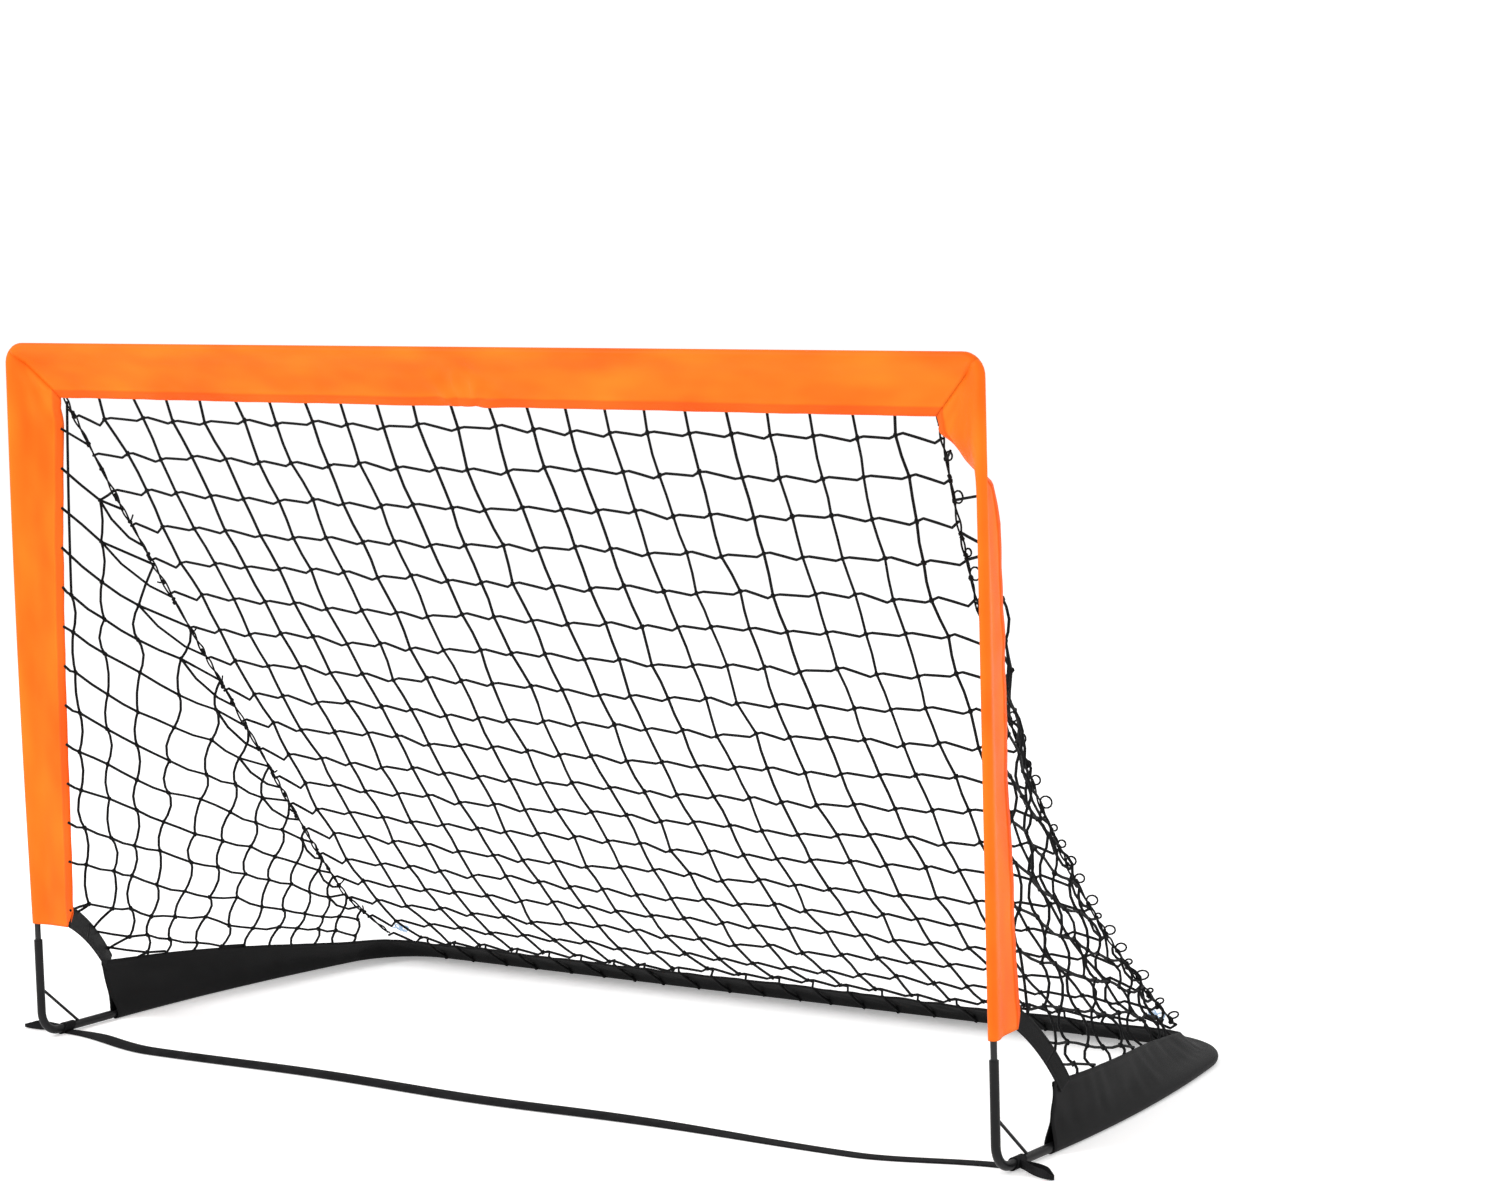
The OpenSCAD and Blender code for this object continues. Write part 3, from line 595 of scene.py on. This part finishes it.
def skirt_width(side, u):
    return mix(skirt_front_width, skirt_rear_width, min(skirt_share(side, u) / 0.7, 1) ** 0.9)


def skirt_place(side, u, across, offset):
    """A point of a side's cover, across from its lowest edge, offset outwards."""
    x, y, heading = base_plan(u)
    rise = skirt_rise(side, u)
    share = across / skirt_front_width
    reach = share * (skirt_width(side, u) + tunnel_radius) - tunnel_radius
    inward = reach * math.cos(rise) - offset * math.sin(rise)
    lift = reach * math.sin(rise) + offset * math.cos(rise)
    return at(
        side * (x - inward * math.cos(heading)), y - inward * math.sin(heading), base_z + lift,
    )


black_material, black_shader, black_tree = new_material(
    "black_polyester", (0.008, 0.008, 0.0085), 0.75, Specular_IOR_Level=0.12
)
coat_with(black_tree, black_shader, mottled(
    black_tree, 24, (0.003, 0.003, 0.0032), (0.009, 0.009, 0.0095), stretch=(1, 0.5, 1), high=0.72,
    source="UV", smooth=0.5, rough=0.72,
))
black_weave = place_group(black_tree, weave_group, "UV", Threads=300)
relief(black_tree, black_shader, black_weave.outputs["Height"], 0.35, 0.0004)

skirt_outline = cover_section(skirt_front_width, tunnel_radius, 0.001, skirt_hem)


def side_skirt_place(side):
    def place(across, offset, v):
        up = eased(across / skirt_front_width)
        front = -0.046 * up if side == LEFT else mix(-0.046, -0.020, up)
        u = mix(front, 2, v)
        y = base_plan(u)[1]
        held = eased((across - 2 * tunnel_radius) / 0.02)
        slant = 0.0017 * soft(y * 1.3 + across, (y - across) * 0.25, 40 + side, 0.022)
        broad = 0.0030 * soft(y, across, 50 + side, 0.09)
        ends = 0.4 + 0.6 * eased((skirt_front_width - across) / 0.012)
        return skirt_place(side, u, across, offset + held * ends * (slant + broad))

    return place


def plan_length(start, end, steps=40):
    spots = [base_plan(mix(start, end, k / steps)) for k in range(steps + 1)]
    return sum(math.dist(a[:2], b[:2]) for a, b in zip(spots, spots[1:]))


side_skirt_length = plan_length(0, 2)
for side in (LEFT, RIGHT):
    skirt = sewn_cover(
        f"base_cover_{side_names[side]}", 120, skirt_outline, side_skirt_place(side), black_material,
        side_skirt_length,
    )
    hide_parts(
        *(f"{part}_{side_names[side]}" for part in ("base_tunnel", "corner_tunnel", "skirt"))
    )
    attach(skirt, "base")


def rear_skirt_place(across, offset, v):
    x = mix(-corner_x, corner_x, v)
    reach = across / skirt_front_width * (skirt_rear_width + tunnel_radius) - tunnel_radius
    held = eased((across - 2 * tunnel_radius) / 0.02)
    folds = 0.0016 * soft(x * 1.4 + across, across, 61, 0.03) + 0.0014 * soft(x, across, 62, 0.11)
    out = offset + held * folds
    forward = reach * math.cos(skirt_rear_rise) - out * math.sin(skirt_rear_rise)
    lift = reach * math.sin(skirt_rear_rise) + out * math.cos(skirt_rear_rise)
    return at(x, goal_depth - forward, base_z + lift)


rear_skirt = sewn_cover(
    "base_cover_rear", 200, skirt_outline, rear_skirt_place, black_material, 2 * corner_x
)
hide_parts("base_tunnel_rear", "skirt_rear")
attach(rear_skirt, "base")

# Rear net: twisted polyethylene cord, knotted in square meshes between the two seams, hung from the
# crossbar's hem and tied under the front of the rear cover. It sags, and is pulled in at both seams,
# the left one more than the right one.
cord_radius = 0.00185
knot_radius = 0.0032
net_material, net_shader, net_tree = new_material(
    "net_cord", (0.005, 0.005, 0.0055), 0.65, Specular_IOR_Level=0.1
)
net_twist = mottled(net_tree, 420, (0.002, 0.002, 0.0025), (0.008, 0.008, 0.0085), detail=2)
coat_with(net_tree, net_shader, net_twist, roughness=False)
relief(net_tree, net_shader, net_twist.outputs["Mask"], 0.6, 0.0004)


def swept(name, runs, radius):
    """Sweeps a round cord along each run of points, and returns it as one mesh."""
    line = bpy.data.curves.new(name, "CURVE")
    line.dimensions = "3D"
    line.bevel_depth = radius
    line.bevel_resolution = 1
    line.use_fill_caps = True
    for run in runs:
        spline = line.splines.new("POLY")
        spline.points.add(len(run) - 1)
        for point, spot in zip(spline.points, run):
            point.co = (*spot, 1)
    holder = bpy.data.objects.new(name, line)
    bpy.context.collection.objects.link(holder)
    bpy.context.view_layer.update()
    mesh = bpy.data.meshes.new_from_object(holder)
    bpy.data.objects.remove(holder)
    bpy.data.curves.remove(line)
    bm = bmesh.new()
    bm.from_mesh(mesh)
    bpy.data.meshes.remove(mesh)
    return bm


# Where the cloth and the cords are cut in two: the upper piece lies above the cut, which is at arch_free,
# and the lower piece lies below it.
arch_way = Vector((0.05, -1, 0.4))
arch_free, arch_held = -0.041, 0.024


def reached(way, spot):
    return way.x * spot.x + way.y * (spot.y - mouth_y) + way.z * spot.z


def along(way, value):
    """The point on a line in the mouth's middle plane at which way reaches a value."""
    return Vector((0, mouth_y, 0)) + way * (value / way.length_squared)


def cut_runs(runs):
    """Shares runs out over the upper and the lower piece, cutting those that cross."""
    upper, lower = [], []
    for run in runs:
        sides = [reached(arch_way, spot) > arch_free for spot in run]
        part = [run[0]]
        for k in range(1, len(run)):
            if sides[k] != sides[k - 1]:
                a, b = reached(arch_way, run[k - 1]), reached(arch_way, run[k])
                meeting = run[k - 1].lerp(run[k], (arch_free - a) / (b - a))
                part.append(meeting)
                (upper if sides[k - 1] else lower).append(part)
                part = [meeting]
            part.append(run[k])
        (upper if sides[-1] else lower).append(part)
    return upper, lower


def add_knots(bm, knots, size, seed):
    """Small lumps of cord, each turned its own way."""
    turned = random.Random(seed)
    for spot in knots:
        turn = Matrix.Rotation(turned.uniform(0, math.pi), 4, "Y")
        wide, tall = turned.uniform(0.9, 1.25), turned.uniform(1.1, 1.5)
        shape = Matrix.Diagonal((size * wide, size, size * tall, 1))
        bmesh.ops.create_icosphere(
            bm, subdivisions=1, radius=1, matrix=Matrix.Translation(spot) @ turn @ shape
        )


def blend_half(piece, half):
    """Bakes the transform of the upper or the lower half of a cloth or cord into its mesh; both halves are
    treated alike.
    """
    if half == "upper":
        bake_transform(piece)
    else:
        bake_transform(piece)


def blended_pair(node, runs, knots, radius, seed):
    """Makes the upper and the lower piece that stand for a node of cord."""
    for half, half_runs in zip(("upper", "lower"), cut_runs(runs)):
        bm = swept(f"{node}_{half}", half_runs, radius)
        mine = [k for k in knots if (reached(arch_way, k) > arch_free) == (half == "upper")]
        add_knots(bm, mine, knot_radius, seed)
        piece = new_piece(f"{node}_{half}", bm, net_material)
        blend_half(piece, half)
        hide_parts(node)


hem_lean = cover_lean(LEFT, 0)
hem_reach = cover_width - cover_round
hem_back = hem_reach * math.sin(hem_lean)
hem_x = axis_x - hem_reach * math.cos(hem_lean)
hem_z = top_z - hem_reach * math.cos(hem_lean)
net_top = (hem_back + 0.002, hem_z + 0.002)
net_middle = (0.205, 0.300)
net_low = (0.612, 0.046)
seam_pull = {LEFT: 0.052, RIGHT: 0.012}
seam_back = {LEFT: 0.034, RIGHT: 0.020}
mesh_pitch = 0.053


def seam_point(side, t):
    y = (1 - t) ** 2 * net_top[0] + 2 * t * (1 - t) * net_middle[0] + t * t * net_low[0]
    z = (1 - t) ** 2 * net_top[1] + 2 * t * (1 - t) * net_middle[1] + t * t * net_low[1]
    pulled = math.sin(math.pi * min(t * 1.15, 1)) if t < 0.87 else 0
    x = hem_x - 0.004 - 0.03 * t - seam_pull[side] * pulled
    return at(side * x, y + seam_back[side] * math.sin(math.pi * t), z)


def even_shares(point, count=400):
    """Function that turns a share of a curve's length into the curve's own parameter."""
    spots = [point(k / count) for k in range(count + 1)]
    lengths = [0]
    for a, b in zip(spots, spots[1:]):
        lengths.append(lengths[-1] + (b - a).length)

    def share(value):
        target = min(max(value, 0), 1) * lengths[-1]
        for k in range(count):
            if lengths[k + 1] >= target:
                span = lengths[k + 1] - lengths[k]
                return (k + (target - lengths[k]) / max(span, 1e-9)) / count
        return 1

    return share, lengths[-1]


seam_share, seam_length = even_shares(lambda t: (seam_point(LEFT, t) + seam_point(RIGHT, t)) / 2)

rear_columns = 23
first_row = 0.031
rear_rows = int((seam_length - first_row) / mesh_pitch)
shaken = random.Random(4)


def rear_net_point(column, t):
    share = column / rear_columns
    spot = seam_point(LEFT, t).lerp(seam_point(RIGHT, t), share)
    sag = 0.012 * math.sin(math.pi * share) * math.sin(math.pi * t)
    return spot + Vector((0, 0.3 * sag, -sag - 0.004 * (1 - share) * min(t * 8, 1)))


rear_knots = {}
for row in range(rear_rows + 1):
    gone = row / rear_rows * (0.97 + 0.03 * row / rear_rows)
    t = seam_share((first_row + gone * (seam_length - first_row)) / seam_length)
    for column in range(rear_columns + 1):
        edge = 0.3 if column in (0, rear_columns) else 1
        shake = Vector([shaken.uniform(-0.0035, 0.0035) * edge for _ in range(3)])
        rear_knots[column, row] = rear_net_point(column, t) + shake

rear_runs = []
rear_ends = []
for column in range(1, rear_columns):
    run = [rear_net_point(column, 0) + Vector((0, 0.001, 0.006))]
    for row in range(rear_rows + 1):
        knot = rear_knots[column, row]
        if row:
            before = run[-1]
            sway = Vector((shaken.uniform(-0.0016, 0.0016), 0, shaken.uniform(-0.001, 0.001)))
            run.append(before.lerp(knot, 0.5) + sway)
        run.append(knot)
    last = run[-1]
    foot = at(last.x * 0.998 + shaken.uniform(-0.006, 0.003), goal_depth - 0.006, 0.0035)
    edge = at(last.x, goal_depth - skirt_rear_width * math.cos(skirt_rear_rise) - 0.004, base_z + 0.031)
    run.append(last.lerp(edge, 0.75) + Vector((0.002, 0, 0.002)))
    run.append(edge + Vector((shaken.uniform(-0.002, 0.002), -0.003, -0.004)))
    run.append(edge.lerp(foot, 0.5) + Vector((shaken.uniform(-0.004, 0.004), -0.003, -0.003)))
    run.append(foot)
    rear_ends.append(foot)
    rear_runs.append(run)
for row in range(rear_rows + 1):
    run = []
    for column in range(rear_columns):
        a, b = rear_knots[column, row], rear_knots[column + 1, row]
        hang = shaken.uniform(0.7, 1.3) * (1.0 if 0 < column < rear_columns - 1 else 2.0)
        run.append(a)
        run.append(a.lerp(b, 0.16) + Vector((0, 0, 0.0016 * hang)))
        run.append(a.lerp(b, 0.5) + Vector((0, 0, -0.0008 * hang)))
        run.append(a.lerp(b, 0.84) + Vector((0, 0, -0.0034 * hang)))
    run.append(rear_knots[rear_columns, row])
    rear_runs.append(run)
rear_lumps = [k for (column, row), k in rear_knots.items() if 0 < column < rear_columns] + rear_ends
blended_pair("net_rear", rear_runs, rear_lumps, cord_radius, 11)

# Risers: black webbing bands that curve down and back from the lower inner corner of each upright
# cover to the front top corner of the side's base cover, with a sewn edge on both sides.
riser_width = {LEFT: 0.030, RIGHT: 0.024}
riser_thick = 0.0018
riser_length = 0.16


def riser_spot(side, t, across, offset=0.0):
    """A point of a riser: t from its top to its foot, and across from its inner to its outer edge."""
    lean = cover_lean(side, cover_top - cover_bottom)
    reach = cover_width - cover_round - 0.007
    top = Vector((axis_x - reach * math.cos(lean), reach * math.sin(lean), cover_bottom + 0.012))
    foot = Vector((axis_x + 0.003, bow_start + (-0.003 if side == LEFT else 0.014), base_z + 0.068))
    bend = Vector((mix(top.x, foot.x, 0.58), mix(top.y, foot.y, 0.58), mix(top.z, foot.z, 0.38)))
    centre = top.lerp(bend, t).lerp(bend.lerp(foot, t), t)
    ahead = (bend - top).lerp(foot - bend, t).normalized()
    plan = Vector((foot.x - top.x, foot.y - top.y, 0)).normalized()
    spot = centre + (plan * -ahead.z + Vector((0, 0, ahead.dot(plan)))) * (across - 0.012)
    spot += Vector((plan.y, -plan.x, 0)) * offset
    return at(side * spot.x, spot.y, spot.z)


def band_outline(width, thick):
    """Section of a flat band: two faces and a bead of stitching near both edges."""
    steps = [0.0, 0.04, 0.1, 0.16, 0.22, 0.5, 0.78, 0.84, 0.9, 0.96, 1.0]
    swell = [0.35, 1.25, 1.25, 0.7, 1.0, 1.0, 1.0, 0.7, 1.25, 1.25, 0.35]
    one = [(s * width, thick / 2 * k) for s, k in zip(steps, swell)]
    return one + [(d, -h) for d, h in reversed(one)] + [one[0]]


def closed_band(name, rows, outline, place, material, length):
    """A solid band of webbing, closed at its ends."""
    bm = bent_grid(outline, rows, place, length)
    bmesh.ops.holes_fill(bm, edges=[e for e in bm.edges if e.is_boundary], sides=0)
    bmesh.ops.recalc_face_normals(bm, faces=bm.faces)
    return new_piece(name, bm, material)


def last_place(holds, low, high):
    """The furthest place from low towards high at which a condition still holds."""
    for _ in range(40):
        middle = (low + high) / 2
        if holds(middle):
            low = middle
        else:
            high = middle
    return low


for side in (LEFT, RIGHT):
    meeting = last_place(
        lambda t: reached(arch_way, riser_spot(side, t, riser_width[side] / 2)) > arch_free, 0, 1
    )
    riser_outline = band_outline(riser_width[side], riser_thick)
    for half, start, end in (("upper", 0, meeting), ("lower", meeting, 1)):

        def riser_place(across, offset, v):
            return riser_spot(side, mix(start, end, v), across, offset)

        riser = closed_band(
            f"riser_{side_names[side]}_{half}", 24, riser_outline, riser_place, black_material,
            riser_length * (end - start),
        )
        blend_half(riser, half)
        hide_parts(f"skirt_riser_{side_names[side]}")

# Side nets: one set of cords runs from the upright cover's hem down and back to the seam, and the
# other hangs from the seam to the base cover. The spaces close up towards the back, so the hanging
# cords have length to spare and bow to and fro.
side_first, side_step, side_closing = 0.028, 0.056, 0.0010
side_columns = 13
line_step = 0.0527
hang_length = 0.057


def skirt_top(side, y):
    """Highest edge of the side's base cover, and the riser in front of it, above plan position y."""
    if y < bow_start:
        edge = [riser_spot(side, k / 40, riser_width[side]) for k in range(41)]
        return min(edge, key=lambda spot: abs(spot.y - mouth_y - y))
    u = last_place(lambda u: skirt_place(side, u, skirt_front_width, 0).y - mouth_y < y, 0, 2)
    return skirt_place(side, u, skirt_front_width, 0)


def seam_above(side, y):
    """The point of the seam above plan position y."""
    return seam_point(side, last_place(lambda t: seam_point(side, t).y - mouth_y < y, 0, 1))


def hem_at(side, z):
    """A point of the upright cover's hem, at a height."""
    lean = cover_lean(side, cover_top - z)
    reach = cover_width - cover_round - 0.003
    return at(side * (axis_x - reach * math.cos(lean)), reach * math.sin(lean), z)


def line_start(side, z):
    """Where a cord of a side net starts: on the cover's hem, or below it on the riser's edge."""
    if z > cover_bottom + 0.02:
        return hem_at(side, z)
    edge = [riser_spot(side, k / 60, riser_width[side]) for k in range(61)]
    return min(edge, key=lambda spot: abs(spot.z - z))


# How steeply a cord leaves the hem, by its height
side_slopes = (
    (0.1, 0.25), (0.2, 0.29), (0.26, 0.37), (0.4, 0.5), (0.5, 0.6), (0.67, 0.75), (0.84, 0.93),
)


def side_net(side):
    shaken = random.Random(20 + side)
    runs, knots = [], []
    starts = [hem_z - 0.041 - line_step * k for k in range(12)] + [cover_bottom + 0.024, 0.132, 0.102]
    numbers = range(0 if side == LEFT else 1, side_columns)
    columns = [side_first + side_step * k - side_closing * k * k for k in numbers]
    bottoms = [skirt_top(side, y) for y in columns]
    tops = [seam_above(side, y) for y in columns]

    def height_of(line, y):
        z = starts[line]
        gone = y - line_start(side, z).y + mouth_y
        if cover_bottom < z < cover_bottom + 0.03:
            gone = max(gone - 0.04, 0)
        return z - stepped(side_slopes, z) * gone * (1 - 0.2 * gone)

    def spot_at(y, z, column):
        bottom, top = bottoms[column], tops[column]
        share = min(max((z - bottom.z) / max(top.z - bottom.z, 1e-6), 0), 1)
        x = mix(abs(bottom.x), abs(top.x), share**0.8)
        x = mix(abs(hem_at(side, z).x), x, eased((y - 0.03) / 0.22))
        return at(side * x, y, z)

    hanging = {k: [] for k in range(len(columns))}
    for line in range(len(starts)):
        start = line_start(side, starts[line])
        run = [start + Vector((0, -0.003, 0))]
        for column, y in enumerate(columns):
            if y < start.y - mouth_y + 0.015:
                continue
            z = height_of(line, y)
            if z > tops[column].z - 0.012:
                before = columns[column - 1] if len(run) > 1 else start.y - mouth_y
                met = last_place(lambda y: height_of(line, y) < seam_above(side, y).z, before, y)
                run.append(seam_above(side, met))
                if len(run) > 2:
                    last, end = run[-2], seam_above(side, met + 0.026)
                    slack = Vector((0, -0.003, -0.007))
                    runs.append([last, last.lerp(end, 0.3) + slack, last.lerp(end, 0.7) + slack, end])
                break
            if z < bottoms[column].z + 0.005:
                run.append(bottoms[column] + Vector((0, 0, 0.002)))
                break
            jitter = Vector((0, shaken.uniform(-0.004, 0.004), shaken.uniform(-0.004, 0.004)))
            knot = spot_at(y, z, column) + jitter
            middle = run[-1].lerp(knot, 0.5)
            run.append(middle + Vector((0, 0, shaken.uniform(-0.003, 0.001))))
            run.append(knot)
            hanging[column].append(knot)
            knots.append(knot)
        if len(run) > 1:
            runs.append(run)
    for column in range(len(columns)):
        chain = [tops[column]] + hanging[column] + [bottoms[column] + Vector((0, 0, -0.002))]
        if tops[column].z - bottoms[column].z < 0.02:
            continue
        run = [chain[0]]
        swing = 1 if column % 2 else -1
        for a, b in zip(chain, chain[1:]):
            chord = (b - a).length
            spare = math.sqrt(max(hang_length**2 - chord**2, 0) * 0.375)
            bow = swing * (0.0025 + min(spare * 0.5, 0.24 * chord)) * shaken.uniform(0.5, 1.2)
            swing = -swing if shaken.random() < 0.75 else swing
            for step, share in ((0.2, 0.62), (0.5, 1.0), (0.8, 0.62)):
                run.append(a.lerp(b, step) + Vector((0.25 * side * bow, bow, 0)) * share)
            run.append(b)
        runs.append(run)
    return runs, knots


for side in (LEFT, RIGHT):
    side_runs, side_knots = side_net(side)
    blended_pair(f"net_{side_names[side]}", side_runs, side_knots, cord_radius, 31 + side)

# Seam lacings: a thicker doubled cord that joins the rear net to each side net. It is whipped
# round with knots and loose ends on the left, and stands out in small loops on the right.
lacing_radius = 0.00125


def lacing_runs(side):
    shaken = random.Random(70 + side)
    strands, knots = [], []
    steps = 240
    for strand in (0, 1):
        run = []
        for k in range(steps + 1):
            t = seam_share(k / steps)
            turn = k * 0.42 + strand * math.pi + 0.9 * math.sin(k * 0.13)
            spread = 0.0016 + 0.0010 * math.sin(k * 0.21 + strand)
            round_seam = Vector((math.cos(turn), 0.6 * math.sin(turn), 0.8 * math.sin(turn)))
            run.append(seam_point(side, t) + round_seam * spread)
        strands.append(run)
    knot_step = 0.043 if side == LEFT else 0.034
    for k in range(int(seam_length / knot_step)):
        t = seam_share((k + 0.5 + shaken.uniform(-0.2, 0.2)) * knot_step / seam_length)
        spot = seam_point(side, t)
        knots.append(spot)
        if shaken.random() < 0.5:
            knots.append(spot + Vector((0, 0.002, -0.005)))
        if side == LEFT:
            way = Vector([shaken.uniform(*span) for span in ((-1, 1), (-0.4, 0.4), (-0.2, 1))]).normalized()
            if k % 2 == 0:
                strands.append([spot, spot + way * 0.005, spot + way * 0.009 + Vector((0, 0, 0.002))])
        else:
            if shaken.random() < 0.2:
                continue
            size = 0.0035 + 0.0045 * shaken.random() * mix(0.7, 1.3, t)
            ahead = seam_point(side, min(t + 0.012, 1)) - seam_point(side, max(t - 0.012, 0))
            ahead.normalize()
            out = Vector((0.55, 0.5, 0.65)).normalized()
            loop = [
                spot + ahead * size * 1.4 * math.sin(math.radians(a) - 0.4)
                + out * size * (1 - math.cos(math.radians(a)))
                for a in range(0, 361, 30)
            ]
            strands.append(loop)
    return strands, knots


for side in (LEFT, RIGHT):
    strands, lumps = lacing_runs(side)
    blended_pair(f"lacing_{side_names[side]}", strands, lumps, lacing_radius, 41 + side)

# Corner ties: short pale blue cords that tie the lacing's end to each rear corner of the base
# cover, as two small loops, a knot and two loose ends.
tie_material, tie_shader, tie_tree = new_material("tie_cord", (0.45, 0.65, 0.85), 0.6)
tie_twist = mottled(tie_tree, 500, (0.22, 0.5, 0.85), (0.8, 0.88, 0.95), detail=2)
coat_with(tie_tree, tie_shader, tie_twist, roughness=False)
relief(tie_tree, tie_shader, tie_twist.outputs["Mask"], 0.5, 0.0004)
tie_radius = 0.0011
for side in (LEFT, RIGHT):
    tie_low, tie_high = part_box(f"corner_tie_{side_names[side]}")
    tie_spot = (tie_low + tie_high) / 2
    tie_strands = []
    for turn in (0.3, 2.2, 4.0):
        facing = Vector((math.cos(turn), 0.4 * math.sin(turn), 0.5 * abs(math.sin(turn)) + 0.2))
        facing.normalize()
        across = facing.cross(Vector((0.2, 0.9, 0.3))).normalized()
        angles = [math.radians(a) for a in range(0, 361, 30)]
        tie_strands.append([
            tie_spot + facing * 0.006 * (1 - math.cos(a)) + across * 0.004 * math.sin(a) for a in angles
        ])
    for way in (Vector((0.8, -0.3, 0.1)), Vector((-0.6, -0.4, 0.35))):
        way.normalize()
        end = tie_spot + way * 0.015 + Vector((0, 0, -0.003))
        tie_strands.append([tie_spot, tie_spot + way * 0.008, end])
    tie_mesh = swept("tie", tie_strands, tie_radius)
    add_knots(tie_mesh, [tie_spot], 0.0026, 95 + side)
    tie = new_piece(f"tie_{side_names[side]}", tie_mesh, tie_material)
    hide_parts(f"corner_tie_{side_names[side]}")
    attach(tie, "base")

# Ground strap: black webbing laid across the mouth between the feet. It is wrapped once round each
# elbow's rear arm, lies rolled half over on the left and flat on the right, and ends in a loop for
# a ground peg outside each foot.
webbing_width = 0.020
webbing_thick = 0.0015
strap_back = 0.046
webbing_material, webbing_shader, webbing_tree = new_material(
    "black_webbing", (0.008, 0.008, 0.008), 0.75, Specular_IOR_Level=0.12
)
webbing_tone = mottled(webbing_tree, 60, (0.003, 0.003, 0.0035), (0.011, 0.011, 0.012))
coat_with(webbing_tree, webbing_shader, webbing_tone, roughness=False)
webbing_weave = place_group(webbing_tree, weave_group, "UV", Threads=120)
relief(webbing_tree, webbing_shader, webbing_weave.outputs["Height"], 0.5, 0.0005)
webbing_outline = band_outline(webbing_width, webbing_thick)
strap_reach = axis_x - 0.004


def strap_place(across, offset, v):
    x = mix(-strap_reach, strap_reach, v)
    roll = math.radians(mix(13, 0, eased((x - 0.12) / 0.4)) * eased((x + strap_reach) / 0.1))
    fold = 0.0020 * math.sin(math.pi * across / webbing_width) * (1 - eased((x - 0.1) / 0.3))
    drift = -0.040 * eased(min(v, 1 - v) / 0.13)
    drift -= 0.006 * math.sin(math.pi * v) * math.sin(5 * math.pi * v)
    y = (across - webbing_width / 2) * math.cos(roll) - (offset + fold) * math.sin(roll)
    z = across * math.sin(roll) + (offset + fold) * math.cos(roll)
    return at(x, strap_back + y + drift, z + 0.0013)


strap = closed_band("ground_webbing", 160, webbing_outline, strap_place, webbing_material, 2 * strap_reach)
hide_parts("ground_strap")
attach(strap, "feet")

wrap_radius = 0.0067
for side in (LEFT, RIGHT):

    def wrap_place(across, offset, v):
        turn = 2 * math.pi * v - math.pi / 2
        wide = wrap_radius + offset + 0.0004 * math.sin(3 * turn)
        skew = 0.004 * math.sin(turn)
        return at(
            side * (axis_x + wide * math.cos(turn)), strap_back - webbing_width / 2 + across + skew,
            base_z + wide * math.sin(turn),
        )

    wrap = closed_band(
        f"strap_wrap_{side_names[side]}", 28, webbing_outline, wrap_place, webbing_material,
        2 * math.pi * wrap_radius,
    )
    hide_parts(f"strap_turn_{side_names[side]}")
    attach(wrap, "feet")

    eye_low, eye_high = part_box(f"peg_loop_{side_names[side]}")
    eye_end = max(abs(eye_low.x), abs(eye_high.x)) + (0.006 if side == LEFT else 0)
    eye_start = min(abs(eye_low.x), abs(eye_high.x)) - 0.006
    eye_tall = 0.011 if side == RIGHT else 0.009
    eye_swing = 0.030 if side == RIGHT else 0.006
    loop_outline = band_outline(eye_tall, webbing_thick)

    def loop_place(across, offset, v):
        turn = 2 * math.pi * v
        run = (1 - math.cos(turn)) / 2
        bulge = 0.0070 * math.sin(turn) * eased(run * 1.6)
        slim = 1 - 0.55 * eased((run - 0.75) / 0.25)
        x = mix(eye_start, eye_end - 0.001, run)
        away = math.copysign(1, math.sin(turn)) if abs(math.sin(turn)) > 1e-6 else 0
        droop = (1 - slim) * 0.3 * eye_tall
        y = strap_back + bulge + offset * away - eye_swing * run
        return at(side * x, y, 0.0014 + across * slim + droop * 0.2)

    loop = closed_band(
        f"peg_webbing_{side_names[side]}", 48, loop_outline, loop_place, webbing_material, 0.12,
    )
    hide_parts(f"peg_loop_{side_names[side]}")
    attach(loop, "feet")
